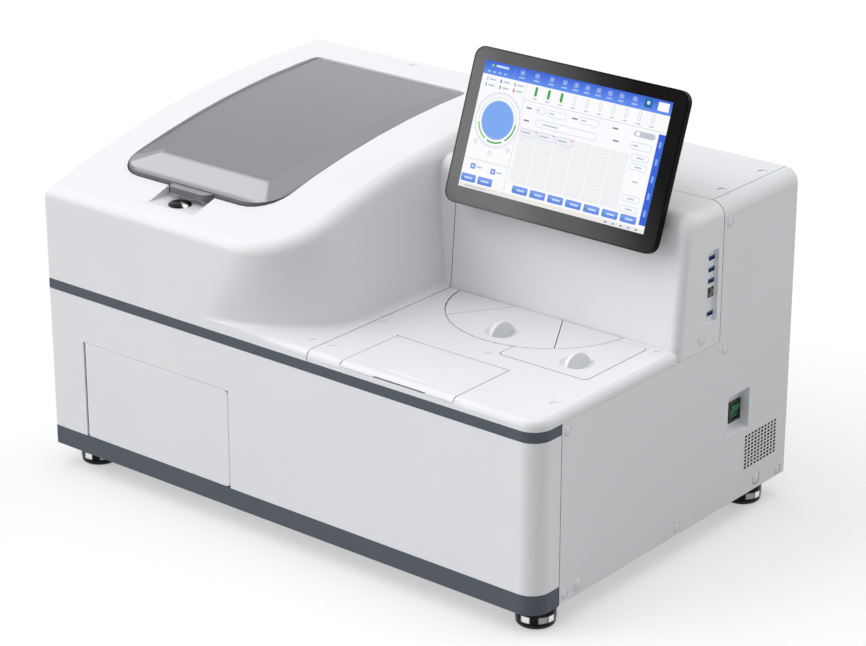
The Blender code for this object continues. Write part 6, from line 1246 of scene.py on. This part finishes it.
bow("grey", 1, *DIAL_SHARES, DIAL_RADIUS, DIAL_WIDTH, 0, 360)
for turn in range(0, 360, DASH_EVERY_DEG):
    bow("line_blue", 2, *DIAL_SHARES, DIAL_RADIUS, DASH_WIDTH, turn, turn + DASH_LONG_DEG)
for colour, width, first_deg, last_deg in RING_PARTS:
    bow(colour, 2, *DIAL_SHARES, RING_RADIUS, width, first_deg, last_deg)
dot("line_blue", 2, *DIAL_SHARES, DISC_RADIUS + DISC_RIM, FINE_FACETS)
dot("sky", 3, *DIAL_SHARES, DISC_RADIUS, FINE_FACETS)
for u, v in KNOB_SHARES:
    dot("mid_grey", 1, u, v, KNOB_RADIUS, SMALL_FACETS)
    dot("grey", 2, u, v, KNOB_RADIUS - KNOB_RIM, SMALL_FACETS)
stamp(AT_CORNER, COLUMN_SHARES)
stamp(BOX_ROW_SHARES, BOX_SHARES)
stamp(LEFT_BUTTON_ROW_SHARES, LEFT_BUTTON_SHARES)
print(sum(len(shapes) for shapes in screen_shapes.values()), "shapes so far")

# %% Screen: tubes and fields
TUBE_COUNT = 10
TUBES_FULL = 3
TUBE_FIRST_SHARE = 0.301
TUBE_PITCH_SHARE = 0.0688
TUBE_DOWN_SHARE = 0.155
TUBE_WORD_SHARES = ("mid_grey", 1, 0, 0.057, 0.022, 0.010, 0.6)
FULL_TUBE_SHARES = (("green", 1, 0, 0, 0.014, 0.075, 0.9), TUBE_WORD_SHARES)
EMPTY_TUBE_SHARES = (("mid_grey", 1, 0, 0, 0.014, 0.075, 0.9), ("white", 2, 0, 0, 0.009, 0.067, 0.9),
                     TUBE_WORD_SHARES)
FIELD_SHARES = ((0.348, 0.288, 0.050, 0.052), (0.434, 0.2925, 0.105, 0.052), (0.605, 0.285, 0.110, 0.052),
                (0.495, 0.386, 0.330, 0.058), (0.891, 0.375, 0.110, 0.055))
LABEL_ROW_SHARES = ((0.283, 0.288), (0.283, 0.386), (0.530, 0.286), (0.745, 0.285), (0.760, 0.375))
LABEL_SHARES = (("dark_grey", 1, 0, 0, 0.030, 0.013, 0.6),)
LINE_AND_TOGGLE_SHARES = (("mid_grey", 1, 0.622, 0.235, 0.750, 0.0035, 0),
                          ("mid_grey", 1, 0.897, 0.285, 0.110, 0.045, 1.0))
TOGGLE_DOT_SHARES = (0.862, 0.285)

tube_row = [(TUBE_FIRST_SHARE + TUBE_PITCH_SHARE * order, TUBE_DOWN_SHARE) for order in range(TUBE_COUNT)]
stamp(tube_row[:TUBES_FULL], FULL_TUBE_SHARES)
stamp(tube_row[TUBES_FULL:], EMPTY_TUBE_SHARES)
for u, v, wide, tall in FIELD_SHARES:
    stamp([(u, v)], [(("line_blue", "white"), 1, 0, 0, wide, tall, 0.9),
                     ("mid_grey", 3, -wide / 4, 0, wide / 4, 0.012, 0.6)])
stamp(LABEL_ROW_SHARES, LABEL_SHARES)
stamp(AT_CORNER, LINE_AND_TOGGLE_SHARES)
dot("white", 2, *TOGGLE_DOT_SHARES, KNOB_RADIUS, SMALL_FACETS)
print(sum(len(shapes) for shapes in screen_shapes.values()), "shapes so far")

# %% Screen: table
TABLE_LEFT_SHARE = 0.260
TABLE_RIGHT_SHARE = 0.845
TABLE_TOP_SHARE = 0.445
TABLE_BOTTOM_SHARE = 0.875
TABLE_COLUMNS = 6
TABLE_ROWS = 7
CELL_FILL_SHARE = 0.95
cell_wide = (TABLE_RIGHT_SHARE - TABLE_LEFT_SHARE) / TABLE_COLUMNS
cell_tall = (TABLE_BOTTOM_SHARE - TABLE_TOP_SHARE) / TABLE_ROWS
FILL_SHARES = (cell_wide * CELL_FILL_SHARE, cell_tall * CELL_FILL_SHARE, 0.15)
USED_CELL_SHARES = ((("line_blue", "grey"), 2, 0, 0, *FILL_SHARES),
                    ("mid_grey", 4, -cell_wide / 8, 0, cell_wide / 2, 0.012, 0.6),
                    ("pink", 4, cell_wide * 0.40, -cell_tall * 0.36, 0.014, 0.014, 0.3))

for row in range(TABLE_ROWS):
    v = TABLE_TOP_SHARE + cell_tall * (row + 0.5)
    cells = [(TABLE_LEFT_SHARE + cell_wide * (column + 0.5), v) for column in range(TABLE_COLUMNS)]
    stamp(cells, [("grey", 1, 0, 0, *FILL_SHARES)])
    if row == 0:
        stamp(cells[:TUBES_FULL], USED_CELL_SHARES)
print(TABLE_ROWS, "rows of", TABLE_COLUMNS, "cells")

# %% Screen: right side, buttons and bottom strip
SIDE_SHARES = (("mid_grey", 1, 0.900, 0.640, 0.030, 0.012, 0.6), ("blue", 1, 0.983, 0.595, 0.034, 0.690, 0),
               ("beige", 1, 0.5, 0.9825, 1.0, 0.035, 0), ("mid_grey", 2, 0.09, 0.982, 0.12, 0.010, 0.5))
PILL_ROW_SHARES = ((0.900, 0.46), (0.900, 0.53), (0.900, 0.77), (0.900, 0.85))
PILL_SHARES = ((("line_blue", "white"), 1, 0, 0, 0.090, 0.050, 0.9), ("mid_grey", 3, 0, 0, 0.036, 0.012, 0.6))
TAB_ROW_SHARES = ((0.983, 0.33), (0.983, 0.46), (0.983, 0.59), (0.983, 0.72), (0.983, 0.85))
TAB_SHARES = (("sky", 2, 0, 0, 0.012, 0.050, 0.4),)
BUTTON_COUNT = 7
LIT_BUTTONS = (0, 1, 4, 5)
LIT_RADIUS = 0.0012
LIT_FACETS = 16
LIT_SHIFT_SHARE = -0.032
BUTTON_FIRST_SHARE = 0.330
BUTTON_PITCH_SHARE = 0.0965
BUTTON_DOWN_SHARE = 0.920
BUTTON_SHARES = (("button", 1, 0, 0, 0.083, 0.058, 0.3),
                 ("button_top", 2, 0, -0.0116, 0.07802, 0.0232, 0.5),
                 ("pale_blue", 3, 0.004, 0, 0.042, 0.014, 0.6))
STRIP_SHARES = (("dark_grey", 0.80), ("sky", 0.84), ("dark_grey", 0.88), ("sky", 0.92), ("dark_grey", 0.96))

stamp(AT_CORNER, SIDE_SHARES)
stamp(PILL_ROW_SHARES, PILL_SHARES)
stamp(TAB_ROW_SHARES, TAB_SHARES)
button_row = [(BUTTON_FIRST_SHARE + BUTTON_PITCH_SHARE * order, BUTTON_DOWN_SHARE)
              for order in range(BUTTON_COUNT)]
stamp(button_row, BUTTON_SHARES)
for order in LIT_BUTTONS:
    u, v = button_row[order]
    dot("green", 3, u + LIT_SHIFT_SHARE, v, LIT_RADIUS, LIT_FACETS)
for colour, u in STRIP_SHARES:
    stamp(AT_CORNER, [(colour, 2, u, 0.982, 0.014, 0.012, 0.5)])
print(sum(len(shapes) for shapes in screen_shapes.values()), "shapes in all")

# %% [markdown]
# From shapes to meshes. Each patch could be an object, but hundreds of objects are slow and hard to
# find. All patches of one colour become one mesh, which rides on the display and tilts with it. Each
# layer lies a little farther out than the one below, so that no two patches share a plane.

# %% Screen: one mesh for each colour
LAYER_FIRST = 0.00010
LAYER_STEP = 0.00004


def screen_point(across, up, layer):
    out = LAYER_FIRST + LAYER_STEP * layer
    return SCREEN_MIDDLE + SCREEN_ACROSS * across + SCREEN_UP * up + SCREEN_OUT * out


for colour, shapes in screen_shapes.items():
    bm = bmesh.new()
    for layer, outline in shapes:
        bm.faces.new([bm.verts.new(screen_point(across, up, layer)) for across, up in outline])
    piece = into_object(bm, "screen_" + colour, SCREEN_PAINTS[colour])
    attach(piece, NODES["display_glass"]["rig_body"])
print(len(screen_shapes), "screen meshes")
